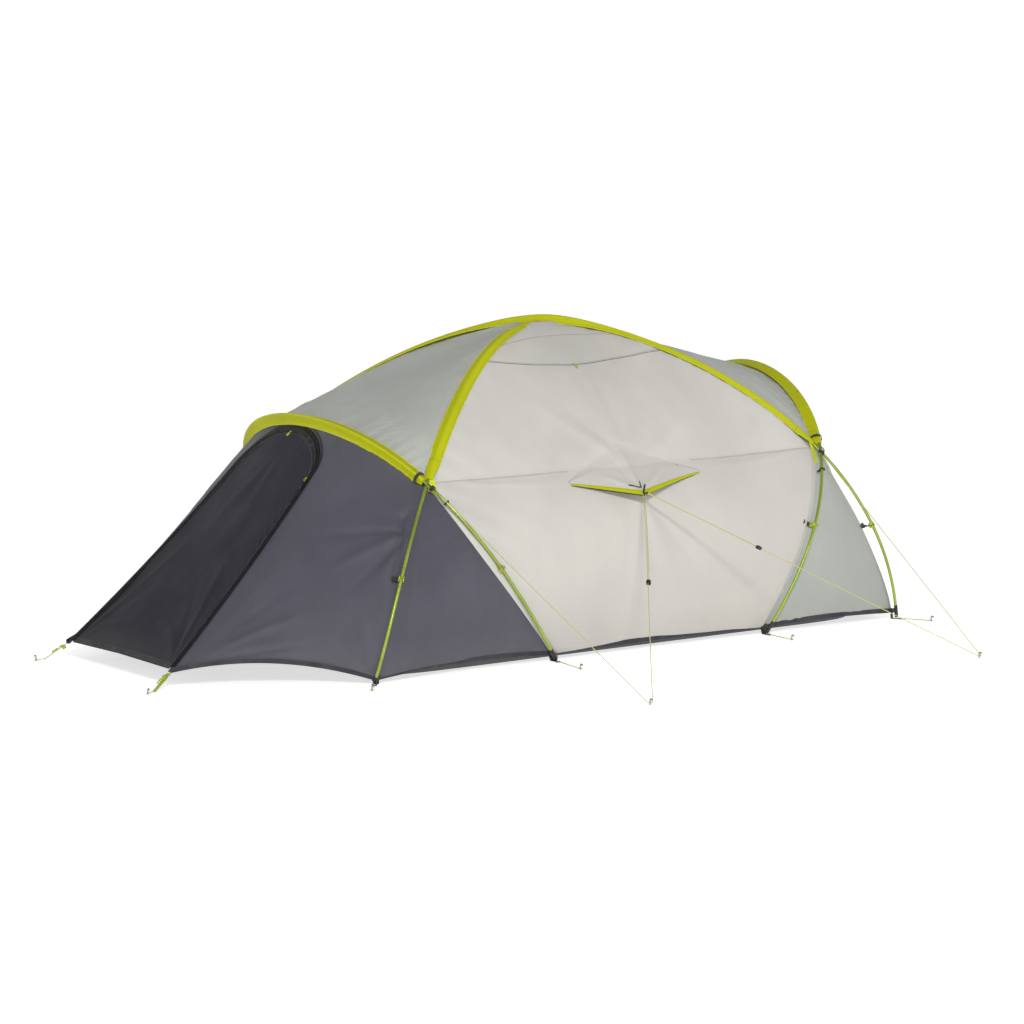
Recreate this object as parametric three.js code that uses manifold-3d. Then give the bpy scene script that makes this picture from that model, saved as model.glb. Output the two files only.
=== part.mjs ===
// A dome tent with four poles: two main poles cross at the apex, and a hoop
// at the front and one at the rear cross them at shoulder height. The fly is
// sleeved on the poles above the crossings and clipped to them below, with a
// vestibule in front and an inner tent hung inside. Millimetres, +Z up, the
// door faces -X, and the tent is the same on its left (-Y) and right (+Y).
import * as THREE from 'three';
import Module from 'manifold-3d';
import { mergeVertices } from 'three/addons/utils/BufferGeometryUtils.js';

const wasm = await Module();
wasm.setup();

// ---------------------------------------------------------- driving sizes
const APEX_X = 426.75;             // the apex stands this far behind the middle
const APEX_Z = 1200;             // height of the apex
const POLE_R = 6;
const POLE_FOOT_Z = 8;           // lowest point of a pole's centre line
const MAIN_LIFT = 11.5;          // the main poles pass over and under by this
const LIFT_REACH = 220;          // and the lift dies away over this distance
const CLOTH = 2;                 // thickness of every cloth panel
const MAIN_INSET = 16;           // cloth seam below a main pole's centre line
const APEX_INSET = 10;           // added to that below the apex
const HOOP_INSET = 30;           // cloth seam below a hoop's centre line
const SEAM_GAP = 3;              // each panel stops this far from a seam
const SLEEVE = { width: 20, height: 10.5, wall: 2 };
const HEM_T = 0.008;             // where the hem crosses a leg, along the leg
const LEG_SEAM_SHIFT = 35;       // the front leg seam bows forward by this
const REAR_SEAM_SHIFT = 32;      // the cloth's edge hangs this far in from the rear corner poles
const HALF = { length: 1270, width: 850 };   // of the dome, for its normals
const FLOOR = { front: -1190, rear: 990, side: 745, corner: 90, wall: 100, sheet: 3 };
const VESTIBULE = { x: -1867, y: -442, z: 62 };
const REAR_HEM_X = 1075;
const STRAP = { width: 20, thick: 1.5, z: 0.5 };
const PEG = { radius: 3.5, shaft: 14, bend: 7 };
const CORD_R = 1.5;
const HOOD = { left: 0.335, right: 0.674, peak: 0.481, reach: 95 };

// Points are written from the spot on the ground below the apex.
const at = (x, y, z) => new THREE.Vector3(x + APEX_X, y, z);
const lerp = (a, b, t) => a + (b - a) * t;
const mix = (p, q, t) => p.clone().lerp(q, t);
const arch = (t) => 4 * t * (1 - t);

// ------------------------------------------------------------- materials
const finish = (color, roughness, metalness = 0) =>
  new THREE.MeshStandardMaterial({ color, roughness, metalness });
const MATERIALS = {
  pole: finish(0xb4d04e, 0.35, 0.6),
  sleeve: finish(0xc3cf2a, 0.75),
  canopy: finish(0xcdcac3, 0.7),
  vestibule: finish(0x5c5c66, 0.7),
  door: finish(0x3b3a42, 0.7),
  tape: finish(0x1c1c20, 0.8),
  plastic: finish(0xb9cc3a, 0.45),
  cord: finish(0xdfe6a0, 0.8),
  strap: finish(0x202024, 0.85),
  peg: finish(0x9a9da1, 0.35, 0.8),
  floor: finish(0x6d7076, 0.75),
  inner: finish(0xe6e3da, 0.8),
};

const tent = new THREE.Group();

function add(name, material, geometry) {
  const mesh = new THREE.Mesh(geometry, MATERIALS[material]);
  mesh.name = name;
  tent.add(mesh);
}

function mirrored(geometry) {
  const copy = geometry.index ? geometry.toNonIndexed() : geometry.clone();
  const position = copy.attributes.position;
  const a = new THREE.Vector3();
  const b = new THREE.Vector3();
  for (let i = 0; i < position.count; i += 3) {
    a.fromBufferAttribute(position, i + 1);
    b.fromBufferAttribute(position, i + 2);
    position.setXYZ(i + 1, b.x, b.y, b.z);
    position.setXYZ(i + 2, a.x, a.y, a.z);
  }
  return copy.scale(1, -1, 1);
}

// A piece on the left side, and its mirror image on the right.
function addPair(name, material, geometry) {
  add(`${name}_left`, material, geometry);
  add(`${name}_right`, material, mirrored(geometry));
}

// ----------------------------------------------------------------- poles
// Half poles on the left, each from its foot to the top of its arch.
const halfPole = (foot, lower, upper, top) =>
  new THREE.CubicBezierCurve3(at(...foot, POLE_FOOT_Z), at(...lower), at(...upper), at(...top));
const LEG = {
  hoop_front: halfPole([-511, -838], [-969, -1007, 696], [-1099, -483, 894], [-1099, 0, 894]),
  hoop_rear: halfPole([444, -842], [840, -1070, 716], [989, -305, 984], [989, 0, 984]),
  corner_front: halfPole([-1271, -838], [-1262, -1060, 369], [-680, -369, APEX_Z], [0, 0, APEX_Z]),
  corner_rear: halfPole([1065, -862], [984, -909, 812], [308, -167, APEX_Z], [0, 0, APEX_Z]),
};
// Where the hoops cross the main poles, along each half pole.
const CROSS = { hoop_front: 0.461, corner_front: 0.455, hoop_rear: 0.425, corner_rear: 0.336 };

class PoleCurve extends THREE.Curve {
  // Up the left half pole and down the mirror image of another one.
  constructor(leftLeg, rightLeg, lift) {
    super();
    this.leftLeg = leftLeg;
    this.rightLeg = rightLeg;
    this.lift = lift;
  }

  getPoint(t) {
    const onLeft = t < 0.5;
    const point = onLeft ? this.leftLeg.getPoint(2 * t) : this.rightLeg.getPoint(2 - 2 * t);
    if (!onLeft) point.y = -point.y;
    const away = Math.hypot(point.x - APEX_X, point.y) / LIFT_REACH;
    point.z += this.lift * Math.exp(-away * away);
    return point;
  }
}

const POLES = {
  hoop_front: new PoleCurve(LEG.hoop_front, LEG.hoop_front, 0),
  hoop_rear: new PoleCurve(LEG.hoop_rear, LEG.hoop_rear, 0),
  main_over: new PoleCurve(LEG.corner_rear, LEG.corner_front, MAIN_LIFT),
  main_under: new PoleCurve(LEG.corner_front, LEG.corner_rear, -MAIN_LIFT),
};

// The dome's outward direction at a point, as on an ellipsoid.
function outward(point) {
  const x = (point.x - APEX_X) / HALF.length ** 2;
  const y = point.y / HALF.width ** 2;
  const z = point.z / APEX_Z ** 2;
  return new THREE.Vector3(x, y, z).normalize();
}

function polygon(radius, sides) {
  const corners = [];
  for (let i = 0; i < sides; i += 1) {
    const angle = (2 * Math.PI * i) / sides;
    corners.push(new THREE.Vector2(radius * Math.cos(angle), radius * Math.sin(angle)));
  }
  return new THREE.Shape(corners);
}

function tube(path, radius, steps, sides = 8) {
  const options = { steps, bevelEnabled: false, extrudePath: path };
  return new THREE.ExtrudeGeometry(polygon(radius, sides), options);
}

// ----------------------------------------------------------- cloth sheets
// A closed sheet from a grid of points on its outer face. Rows run down and
// columns run across; keep(row, column) says which cells are cloth.
function sheet(grid, thickness = CLOTH, keep = () => true, flip = false) {
  const rows = grid.length;
  const columns = grid[0].length;
  const normals = grid.map((row, j) => row.map((_, i) => {
    const across = grid[j][Math.min(i + 1, columns - 1)].clone().sub(grid[j][Math.max(i - 1, 0)]);
    const down = grid[Math.min(j + 1, rows - 1)][i].clone().sub(grid[Math.max(j - 1, 0)][i]);
    return across.cross(down).normalize().multiplyScalar(flip ? -1 : 1);
  }));
  const outer = grid.flat();
  const sunk = (p, normal) => p.clone().addScaledVector(normal, -thickness);
  const inner = grid.flatMap((row, j) => row.map((p, i) => sunk(p, normals[j][i])));
  const faces = [];
  const cells = [];
  for (let j = 0; j + 1 < rows; j += 1) {
    for (let i = 0; i + 1 < columns; i += 1) {
      if (!keep(j, i)) continue;
      const a = j * columns + i;
      const corners = [a, a + 1, a + columns + 1, a + columns];
      cells.push(flip ? corners.reverse() : corners);
    }
  }
  const edges = new Set();
  for (const [a, b, c, d] of cells) {
    faces.push([outer[a], outer[b], outer[c]], [outer[a], outer[c], outer[d]]);
    faces.push([inner[a], inner[c], inner[b]], [inner[a], inner[d], inner[c]]);
    for (const [p, q] of [[a, b], [b, c], [c, d], [d, a]]) edges.add(`${p} ${q}`);
  }
  for (const edge of edges) {
    const [p, q] = edge.split(' ').map(Number);
    if (edges.has(`${q} ${p}`)) continue;
    faces.push([outer[q], outer[p], inner[p]], [outer[q], inner[p], inner[q]]);
  }
  return new THREE.BufferGeometry().setFromPoints(faces.flat());
}

// Points on the patch between four edges, each a function of 0 to 1. The top
// and bottom run left to right, and the left and right run top to bottom.
function patch(top, bottom, left, right) {
  const corners = [left(0), right(0), left(1), right(1)];
  return (u, v) => {
    const point = mix(top(u), bottom(u), v).add(mix(left(v), right(v), u));
    return point.sub(mix(mix(corners[0], corners[1], u), mix(corners[2], corners[3], u), v));
  };
}

function sample(surface, columns, rows) {
  return rows.map((v) => columns.map((u) => surface(u, v)));
}

const steps = (from, to, count) => Array.from({ length: count + 1 }, (_, i) => lerp(from, to, i / count));

// Moves the rim of a grid inward, so that neighbours stay clear of a seam.
function trimmed(grid) {
  const pull = (point, inside) => point.addScaledVector(inside.clone().sub(point).normalize(), SEAM_GAP);
  const last = grid.length - 1;
  const end = grid[0].length - 1;
  grid[0].forEach((point, i) => pull(point, grid[1][i]));
  grid[last].forEach((point, i) => pull(point, grid[last - 1][i]));
  for (const row of grid) {
    pull(row[0], row[1]);
    pull(row[end], row[end - 1]);
  }
  return grid;
}

// ------------------------------------------------------- seams of the fly
// The seam below a half pole at t, as far inside as the cloth runs there.
function seam(leg, t) {
  const point = LEG[leg].getPoint(t);
  const away = Math.hypot(point.x - APEX_X, point.y) / LIFT_REACH;
  const main = MAIN_INSET + APEX_INSET * Math.exp(-away * away);
  const inset = leg.startsWith('hoop') ? HOOP_INSET : main;
  return point.addScaledVector(outward(point), -inset);
}

const seamAlong = (leg, from, to) => (t) => seam(leg, lerp(from, to, t));
const line = (p, q) => (t) => mix(p, q, t);
const hem = (p, q, rise) => (t) => mix(p, q, t).add(new THREE.Vector3(0, 0, rise * arch(t)));
const mirrorY = (p) => new THREE.Vector3(p.x, -p.y, p.z);

const NEAR_APEX = 0.965;
const KNEE = 0.6;                // rows above this lie above the crossings

const frontLegSeam = (t) => {
  const point = seamAlong('hoop_front', CROSS.hoop_front, HEM_T)(t);
  point.x -= LEG_SEAM_SHIFT * Math.sin(Math.PI * t);
  return point;
};
const rearLegSeam = seamAlong('hoop_rear', CROSS.hoop_rear, HEM_T);
const FOOT = {
  hoop_front: seam('hoop_front', HEM_T),
  hoop_rear: seam('hoop_rear', HEM_T),
  corner_front: seam('corner_front', HEM_T),
  corner_rear: seam('corner_rear', HEM_T),
};

function sideEdge(upperLeg, lowerSeam) {
  const upper = seamAlong(upperLeg, NEAR_APEX, CROSS[upperLeg]);
  return (v) => (v < KNEE ? upper(v / KNEE) : lowerSeam((v - KNEE) / (1 - KNEE)));
}

// ------------------------------------------------------------- fly panels
const sideLeft = sideEdge('corner_front', frontLegSeam);
const sideRight = sideEdge('corner_rear', rearLegSeam);
const sideHem = hem(FOOT.hoop_front, FOOT.hoop_rear, 7);
const side = patch(line(sideLeft(0), sideRight(0)), sideHem, sideLeft, sideRight);

function flySide() {
  const rows = [...steps(0, KNEE, 7), ...steps(KNEE, 1, 4).slice(1)];
  return sheet(trimmed(sample(side, steps(0, 1, 10), rows)), CLOTH, () => true, true);
}

// A roof panel from a hoop up to the apex, hollowed between the main poles.
function flyRoof(hoopLeg, mainLeg, hollow, flip) {
  const edge = seamAlong(mainLeg, CROSS[mainLeg], NEAR_APEX);
  const far = (t) => mirrorY(edge(t));
  const ridge = seamAlong(hoopLeg, CROSS[hoopLeg], 1);
  const hoop = (u) => (u < 0.5 ? ridge(2 * u) : mirrorY(ridge(2 - 2 * u)));
  const surface = patch(hoop, line(edge(1), far(1)), edge, far);
  const chord = line(edge(0), edge(1));
  const cloth = (u, v) => {
    const bulge = edge(v).sub(chord(v)).multiplyScalar(hollow * arch(u));
    bulge.y = 0;
    return surface(u, v).sub(bulge);
  };
  return sheet(trimmed(sample(cloth, steps(0, 1, 12), steps(0, 1, 8))), CLOTH, () => true, flip);
}

// Vestibule: the corner between the front legs, the flank and the front,
// which the door fills up to its arch.
const CREASE_T = 0.8;            // where the front's crease meets the hoop
const CREASE_SAG = 12;
const DOOR = { half: 0.93, archFoot: 0.2, archTop: 0.05, gap: 0.02 };
const cornerPoint = at(VESTIBULE.x, VESTIBULE.y, VESTIBULE.z);
const frontPoint = at(VESTIBULE.x, 0, VESTIBULE.z + 6);
const sagging = (p, q) => (t) => {
  const sag = CREASE_SAG * arch(t);
  return mix(p, q, t).add(new THREE.Vector3(sag, 0, -sag));
};
const crease = sagging(seam('hoop_front', CREASE_T), cornerPoint);
const frontLine = sagging(seam('hoop_front', 1), frontPoint);
const frontPoleSeam = seamAlong('corner_front', CROSS.corner_front, HEM_T);
const frontCorner = patch(
  line(frontLegSeam(0.06), frontPoleSeam(0)),
  hem(FOOT.hoop_front, FOOT.corner_front, 18),
  (v) => frontLegSeam(lerp(0.06, 1, v)),
  frontPoleSeam,
);
const flank = patch(
  seamAlong('hoop_front', CROSS.hoop_front, CREASE_T),
  hem(FOOT.corner_front, cornerPoint, 48),
  frontPoleSeam,
  crease,
);
const front = patch(
  seamAlong('hoop_front', CREASE_T, 1),
  line(cornerPoint, frontPoint),
  crease,
  frontLine,
);

// The door's arch: how far down the front it reaches at s, from -1 to 1.
function archAt(s, half, grow) {
  const curve = Math.sqrt(Math.max(0, 1 - (s / half) ** 2));
  return lerp(DOOR.archFoot, DOOR.archTop, curve) - grow;
}

function flyVestibule() {
  const above = 2;                                // rows above the arch foot
  const below = 7;
  const half = DOOR.half + DOOR.gap;
  const grow = DOOR.gap / 2;
  const rowAt = (foot, j) => (j <= above ? (foot * j) / above : lerp(foot, 1, (j - above) / below));
  const rows = Array.from({ length: above + below + 1 }, (_, j) => j);
  const column = (surface, u, foot) => rows.map((j) => surface(u, rowAt(foot, j)));
  const foot = DOOR.archFoot - grow;
  const columns = [];
  for (const u of steps(0, 1, 4).slice(0, -1)) columns.push(column(frontCorner, u, foot));
  for (const u of steps(0, 1, 5).slice(0, -1)) columns.push(column(flank, u, foot));
  columns.push(column(front, 0, foot));
  for (const s of steps(-half, 0, 5)) columns.push(column(front, 1 + s, archAt(s, half, grow)));
  const doorFrom = columns.length - 6;
  const doorTo = columns.length + 4;
  for (const points of columns.slice(0, -1).reverse()) columns.push(points.map(mirrorY));
  const grid = columns[0].map((_, j) => columns.map((points) => points[j].clone()));
  const keep = (j, i) => j < above || i < doorFrom || i > doorTo;
  return sheet(trimmed(grid), CLOTH, keep);
}

// A point on the whole front at s from -1 (left crease) to 1 (right crease).
const frontAt = (s, v) => (s <= 0 ? front(1 + s, v) : mirrorY(front(1 - s, v)));

function flyDoor() {
  const grid = steps(0, 1, 8).map((r) => steps(-DOOR.half, DOOR.half, 10).map((s) => {
    const top = archAt(s, DOOR.half, 0);
    return frontAt(s, lerp(top, 0.99, r));
  }));
  return sheet(grid);
}

// The way out of the front, about square to its slope.
const FRONT_NORMAL = new THREE.Vector3(-0.735, 0, 0.678);

// The zip tape runs round the opening, on the vestibule's outer face.
function zipEdge(inset) {
  const half = DOOR.half + DOOR.gap + inset;
  const grow = DOOR.gap / 2 + inset * 0.6;
  const points = [];
  for (const v of steps(0.985, DOOR.archFoot - grow, 7).slice(0, -1)) points.push(frontAt(-half, v));
  for (const angle of steps(0, Math.PI, 12)) {
    const s = -half * Math.cos(angle);
    points.push(frontAt(s, archAt(s, half, grow)));
  }
  for (const v of steps(DOOR.archFoot - grow, 0.985, 7).slice(1)) points.push(frontAt(half, v));
  return points.map((p) => p.addScaledVector(FRONT_NORMAL, 4));
}

function doorZip() {
  const near = zipEdge(0.005);
  const far = zipEdge(0.035);
  return sheet(near.map((point, i) => [point, far[i]]));
}

// Rear: the corner between the rear legs, and half of the rear wall.
function flyRear() {
  const poleSeam = (t) => {
    const point = seamAlong('corner_rear', CROSS.corner_rear, HEM_T)(t);
    return point.addScaledVector(outward(point), -REAR_SEAM_SHIFT * Math.sin(Math.PI * t));
  };
  const legSeam = (v) => rearLegSeam(lerp(0.06, 1, v));
  const foot = hem(FOOT.hoop_rear, FOOT.corner_rear, 10);
  const corner = patch(line(legSeam(0), poleSeam(0)), foot, legSeam, poleSeam);
  const middle = at(REAR_HEM_X, 0, 34);
  const wall = patch(
    seamAlong('hoop_rear', CROSS.hoop_rear, 1),
    line(FOOT.corner_rear, middle),
    poleSeam,
    line(seam('hoop_rear', 1), middle),
  );
  const rows = steps(0, 1, 8);
  const half = rows.map((v) => [
    ...steps(0, 1, 4).slice(0, -1).map((u) => corner(u, v)),
    ...steps(0, 1, 6).map((u) => wall(u, v)),
  ]);
  const grid = half.map((row) => [...row, ...row.slice(0, -1).reverse().map(mirrorY)]);
  return sheet(trimmed(grid), CLOTH, () => true, true);
}

// --------------------------------------------------- hoods, hems, straps
// The vent hood is pulled out of the side by the guylines at its peak.
function ventHood() {
  const peakAt = (HOOD.peak - HOOD.left) / (HOOD.right - HOOD.left);
  const columns = [...steps(0, peakAt, 4), ...steps(peakAt, 1, 4).slice(1)];
  const grid = steps(0, 1, 3).map((r) => columns.map((c) => {
    const rise = c < peakAt ? c / peakAt : (1 - c) / (1 - peakAt);
    const v = lerp(KNEE + 0.028 - 0.1 * rise, KNEE + 0.04 + 0.037 * rise, r);
    const point = side(lerp(HOOD.left, HOOD.right, c), v);
    const normal = outward(point);
    normal.z = 0;
    return point.addScaledVector(normal, 6 + HOOD.reach * rise ** 1.5 * r);
  }));
  return sheet(grid, CLOTH, () => true, true);
}

const flatten = (v) => new THREE.Vector3(v.x, v.y, 0).normalize();
const PEG_AT = {
  corner_front: at(-1345, -950, 0),
  hoop_front: at(-545, -1050, 0),
  hoop_rear: at(428, -1020, 0),
  corner_rear: at(1120, -1005, 0),
  vestibule: at(-1977, -484, 0),
};
const pegEnd = (peg, from) => {
  const away = flatten(from.clone().sub(PEG_AT[peg]));
  const end = PEG_AT[peg].clone().addScaledVector(away, PEG.radius + 3);
  return end.setZ(STRAP.z);
};

// Webbing from a hem corner, under the pole's foot and out to the peg.
function strapPoints(leg) {
  const pole = LEG[leg].getPoint(0);
  const inboard = flatten(FOOT[leg].clone().sub(pole));
  const corner = FOOT[leg].clone().addScaledVector(inboard, 5);
  corner.z -= 8;
  const under = pole.clone().setZ(STRAP.z);
  const inner = under.clone().addScaledVector(inboard, 15);
  return [corner, inner, under, pegEnd(leg, pole)];
}

function ribbon(points, across, width, thick = STRAP.thick) {
  const grid = points.map((p, i) => {
    const half = across[i].clone().setLength(width / 2);
    return [p.clone().sub(half), p.clone().add(half)];
  });
  return sheet(grid, thick);
}

function strapAcross(points) {
  const run = flatten(points[points.length - 1].clone().sub(points[points.length - 2]));
  return new THREE.Vector3(-run.y, run.x, 0);
}

function footStrap(leg) {
  const points = strapPoints(leg);
  const across = strapAcross(points);
  return ribbon(points, points.map(() => across), STRAP.width);
}

function cornerStrap() {
  const points = [cornerPoint.clone().add(new THREE.Vector3(-8, -2, -6)), pegEnd('vestibule', cornerPoint)];
  points[1].z = STRAP.z + 4;
  const middle = mix(points[0], points[1], 0.5);
  points.splice(1, 0, middle);
  const across = strapAcross(points);
  return ribbon(points, points.map(() => across), STRAP.width);
}

// The hem tape, with the foot strap of each hoop leg in one run.
function hemTape() {
  const start = strapPoints('hoop_front').reverse();
  const end = strapPoints('hoop_rear');
  const down = new THREE.Vector3(0, 0, -1);
  const points = [];
  const across = [];
  for (const p of start.slice(0, -1)) {
    points.push(p);
    across.push(strapAcross(strapPoints('hoop_front')).negate());
  }
  for (const t of steps(0.03, 0.97, 12)) {
    points.push(sideHem(t).add(new THREE.Vector3(0, -4, 4)));
    across.push(down);
  }
  for (const p of end.slice(1)) {
    points.push(p);
    across.push(strapAcross(strapPoints('hoop_rear')));
  }
  return ribbon(points, across, STRAP.width);
}

// -------------------------------------------------- clips, pegs, cords
const CLIP_T = { corner_front: 0.262, hoop_front: 0.2, hoop_rear: 0.215, corner_rear: 0.167 };

// A hook that snaps round the pole, on a stem that reaches to the cloth.
function poleClip(leg) {
  const bore = POLE_R + 2;
  const rim = POLE_R + 5;
  const reach = (leg.startsWith('hoop') ? HOOP_INSET : MAIN_INSET) - 2;
  const point = (radius, degrees) => {
    const angle = THREE.MathUtils.degToRad(degrees);
    return new THREE.Vector2(radius * Math.cos(angle), radius * Math.sin(angle));
  };
  const outline = [
    ...steps(45, 160, 4).map((a) => point(rim, a)),
    new THREE.Vector2(-reach, 3.4),
    new THREE.Vector2(-reach, -3.4),
    ...steps(200, 315, 4).map((a) => point(rim, a)),
    ...steps(315, 45, 8).map((a) => point(bore, a)),
  ];
  const length = 22;
  const hook = new THREE.ExtrudeGeometry(new THREE.Shape(outline), { depth: length, bevelEnabled: false });
  hook.translate(0, 0, -length / 2);
  const centre = LEG[leg].getPoint(CLIP_T[leg]);
  const along = LEG[leg].getTangent(CLIP_T[leg]);
  const out = outward(centre);
  out.addScaledVector(along, -out.dot(along)).normalize();
  const frame = new THREE.Matrix4().makeBasis(out, along.clone().cross(out), along);
  return hook.applyMatrix4(frame.setPosition(centre));
}

// The head of a bent-wire peg, pushed in until its hook holds the cord.
function peg(place) {
  const top = PEG.shaft + PEG.bend;
  const hook = new THREE.CatmullRomCurve3([
    new THREE.Vector3(0, 0, 0.5),
    new THREE.Vector3(0, 0, PEG.shaft),
    new THREE.Vector3(0, -PEG.bend * 0.35, top - 1),
    new THREE.Vector3(0, -PEG.bend, top),
    new THREE.Vector3(0, -PEG.bend * 2, top - 2),
  ]);
  return tube(hook, PEG.radius, 7, 6).translate(place.x, place.y, 0);
}

// A cord follows its own points, one step for each.
class RouteCurve extends THREE.CatmullRomCurve3 {
  getUtoTmapping(u) {
    return u;
  }
}

const ROUTES = {
  guyline_front: [
    [-938, -737, 650], [-928, -801, 612], [-906, -950, 522], [-874, -1162, 394], [-843, -1375, 267],
    [-811, -1588, 139], [-790, -1726, 56], [-779, -1800, 11], [-776, -1810, 8], [-772, -1813, 8],
    [-767, -1812, 8], [-760, -1805, 11], [-708, -1728, 57], [-631, -1614, 126], [-534, -1472, 213],
    [-437, -1329, 300], [-340, -1186, 386], [-243, -1043, 473], [-146, -896, 561], [-130, -866, 578],
    [-122, -856, 584], [-115, -854, 587], [-114, -861, 584], [-120, -872, 578], [-142, -899, 561],
    [-239, -1046, 473], [-365, -1232, 360], [-404, -1289, 325],
  ],
  guyline_rear: [
    [808, -745, 655], [801, -808, 616], [783, -954, 526], [758, -1162, 397], [733, -1371, 269],
    [709, -1579, 140], [692, -1715, 56], [684, -1788, 11], [681, -1798, 8], [677, -1801, 8],
    [673, -1801, 8], [665, -1794, 11], [603, -1719, 57], [511, -1606, 126], [395, -1465, 213],
    [280, -1325, 300], [164, -1184, 386], [48, -1044, 473], [-74, -900, 562], [-98, -875, 579],
    [-105, -864, 585], [-105, -857, 587], [-98, -859, 585], [-89, -868, 579], [-70, -896, 562],
    [52, -1040, 473], [118, -1120, 424], [164, -1176, 389],
  ],
};
const GUY_PEGS = { guy_front: at(-770, -1805, 0), guy_rear: at(675, -1793, 0) };
const TENSIONERS = {
  front: { from: at(-406, -1287, 326), to: at(-205, -991, 505) },
  rear: { from: at(162, -1178, 389), to: at(-68, -899, 560) },
};

function cord(route) {
  const points = route.map((p) => at(...p));
  return tube(new RouteCurve(points), CORD_R, points.length - 1);
}

// A line lock: a short block with one slot that both strands run through.
function tensioner({ from, to }) {
  const oval = (halfWidth, halfHeight, Kind) => {
    const outline = new Kind();
    outline.moveTo(-halfWidth, -halfHeight);
    outline.lineTo(halfWidth, -halfHeight);
    outline.absarc(halfWidth, 0, halfHeight, -Math.PI / 2, Math.PI / 2, false);
    outline.lineTo(-halfWidth, halfHeight);
    outline.absarc(-halfWidth, 0, halfHeight, Math.PI / 2, 1.5 * Math.PI, false);
    return outline;
  };
  const body = oval(6, 7, THREE.Shape);
  body.holes.push(oval(4.5, 4.2, THREE.Path));
  const length = 26;
  const block = new THREE.ExtrudeGeometry(body, { depth: length, bevelEnabled: false, curveSegments: 4 });
  block.translate(0, 0, -length / 2);
  const along = to.clone().sub(from).normalize();
  const across = new THREE.Vector3(0, 0, 1).cross(along).normalize();
  const frame = new THREE.Matrix4().makeBasis(across, along.clone().cross(across), along);
  return block.applyMatrix4(frame.setPosition(from));
}

function zipSlider() {
  const spot = frontAt(-(DOOR.half + DOOR.gap + 0.02), DOOR.archFoot + 0.01);
  const along = cornerPoint.clone().sub(spot).normalize();
  const out = FRONT_NORMAL.clone();
  out.addScaledVector(along, -out.dot(along)).normalize();
  const frame = new THREE.Matrix4().makeBasis(along, out.clone().cross(along), out);
  const body = new THREE.BoxGeometry(20, 11, 5);
  return body.applyMatrix4(frame.setPosition(spot.addScaledVector(out, 9)));
}

// ------------------------------------------------------------ inner tent
function toSolid(geometry) {
  const plain = geometry.clone();
  plain.deleteAttribute('normal');
  plain.deleteAttribute('uv');
  const merged = mergeVertices(plain);
  const vertProperties = new Float32Array(merged.attributes.position.array);
  const triVerts = new Uint32Array(merged.index.array);
  return new wasm.Manifold(new wasm.Mesh({ numProp: 3, vertProperties, triVerts }));
}

function fromSolid(solid) {
  const { vertProperties, triVerts } = solid.getMesh();
  const geometry = new THREE.BufferGeometry();
  geometry.setAttribute('position', new THREE.BufferAttribute(vertProperties, 3));
  return geometry.setIndex(new THREE.BufferAttribute(triVerts, 1));
}

function floorSlab(shrink, from, to) {
  const { front: head, rear, side: half, corner } = FLOOR;
  const radius = corner - shrink;
  const x0 = head + APEX_X + shrink;
  const x1 = rear + APEX_X - shrink;
  const y1 = half - shrink;
  const outline = new THREE.Shape();
  outline.absarc(x1 - radius, -y1 + radius, radius, -Math.PI / 2, 0, false);
  outline.absarc(x1 - radius, y1 - radius, radius, 0, Math.PI / 2, false);
  outline.absarc(x0 + radius, y1 - radius, radius, Math.PI / 2, Math.PI, false);
  outline.absarc(x0 + radius, -y1 + radius, radius, Math.PI, 1.5 * Math.PI, false);
  const options = { depth: to - from, bevelEnabled: false, curveSegments: 4 };
  const slab = new THREE.ExtrudeGeometry(outline, options);
  return slab.translate(0, 0, from);
}

function innerFloor() {
  const hollow = toSolid(floorSlab(FLOOR.sheet, FLOOR.sheet, FLOOR.wall * 2));
  return fromSolid(toSolid(floorSlab(0, 0, FLOOR.wall)).subtract(hollow));
}

// The inner canopy in level rings: height, reach forward, reach back, half
// width and how square the ring is.
const RINGS = [
  [104, 1185, 985, 742, 9],
  [260, 1170, 972, 742, 8],
  [430, 1140, 950, 735, 6],
  [590, 1095, 930, 680, 4.5],
  [720, 1045, 905, 590, 3.6],
  [820, 985, 875, 490, 2.9],
  [905, 810, 800, 395, 2.4],
  [985, 540, 640, 295, 2.2],
  [1050, 320, 380, 200, 2],
  [1095, 150, 170, 110, 2],
];
const RING_SEGMENTS = 28;

function innerAt(column, row) {
  const low = Math.min(Math.floor(row), RINGS.length - 2);
  const next = RINGS[low + 1];
  const [z, ahead, behind, half, square] = RINGS[low].map((value, k) => lerp(value, next[k], row - low));
  const angle = (2 * Math.PI * column) / RING_SEGMENTS;
  const across = Math.sin(angle);
  const along = (1 - Math.abs(across) ** square) ** (1 / square);
  return at(Math.cos(angle) < 0 ? -ahead * along : behind * along, across * half, z);
}

// The inner door fills these columns and rows of the canopy's front.
const INNER_DOOR = { from: 12, to: 16, low: 0.35, high: 4.2 };

function innerCanopy() {
  const rows = [0, INNER_DOOR.low, 1, 2, 3, 4, INNER_DOOR.high, 5, 6, 7, 8, 9];
  const grid = rows.map((row) => Array.from({ length: RING_SEGMENTS }, (_, i) => innerAt(i, row)));
  grid.forEach((row) => row.push(row[0]));
  const keep = (j, i) => j < 1 || j > 5 || i < INNER_DOOR.from || i >= INNER_DOOR.to;
  return ringSheet(grid, keep);
}

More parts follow.
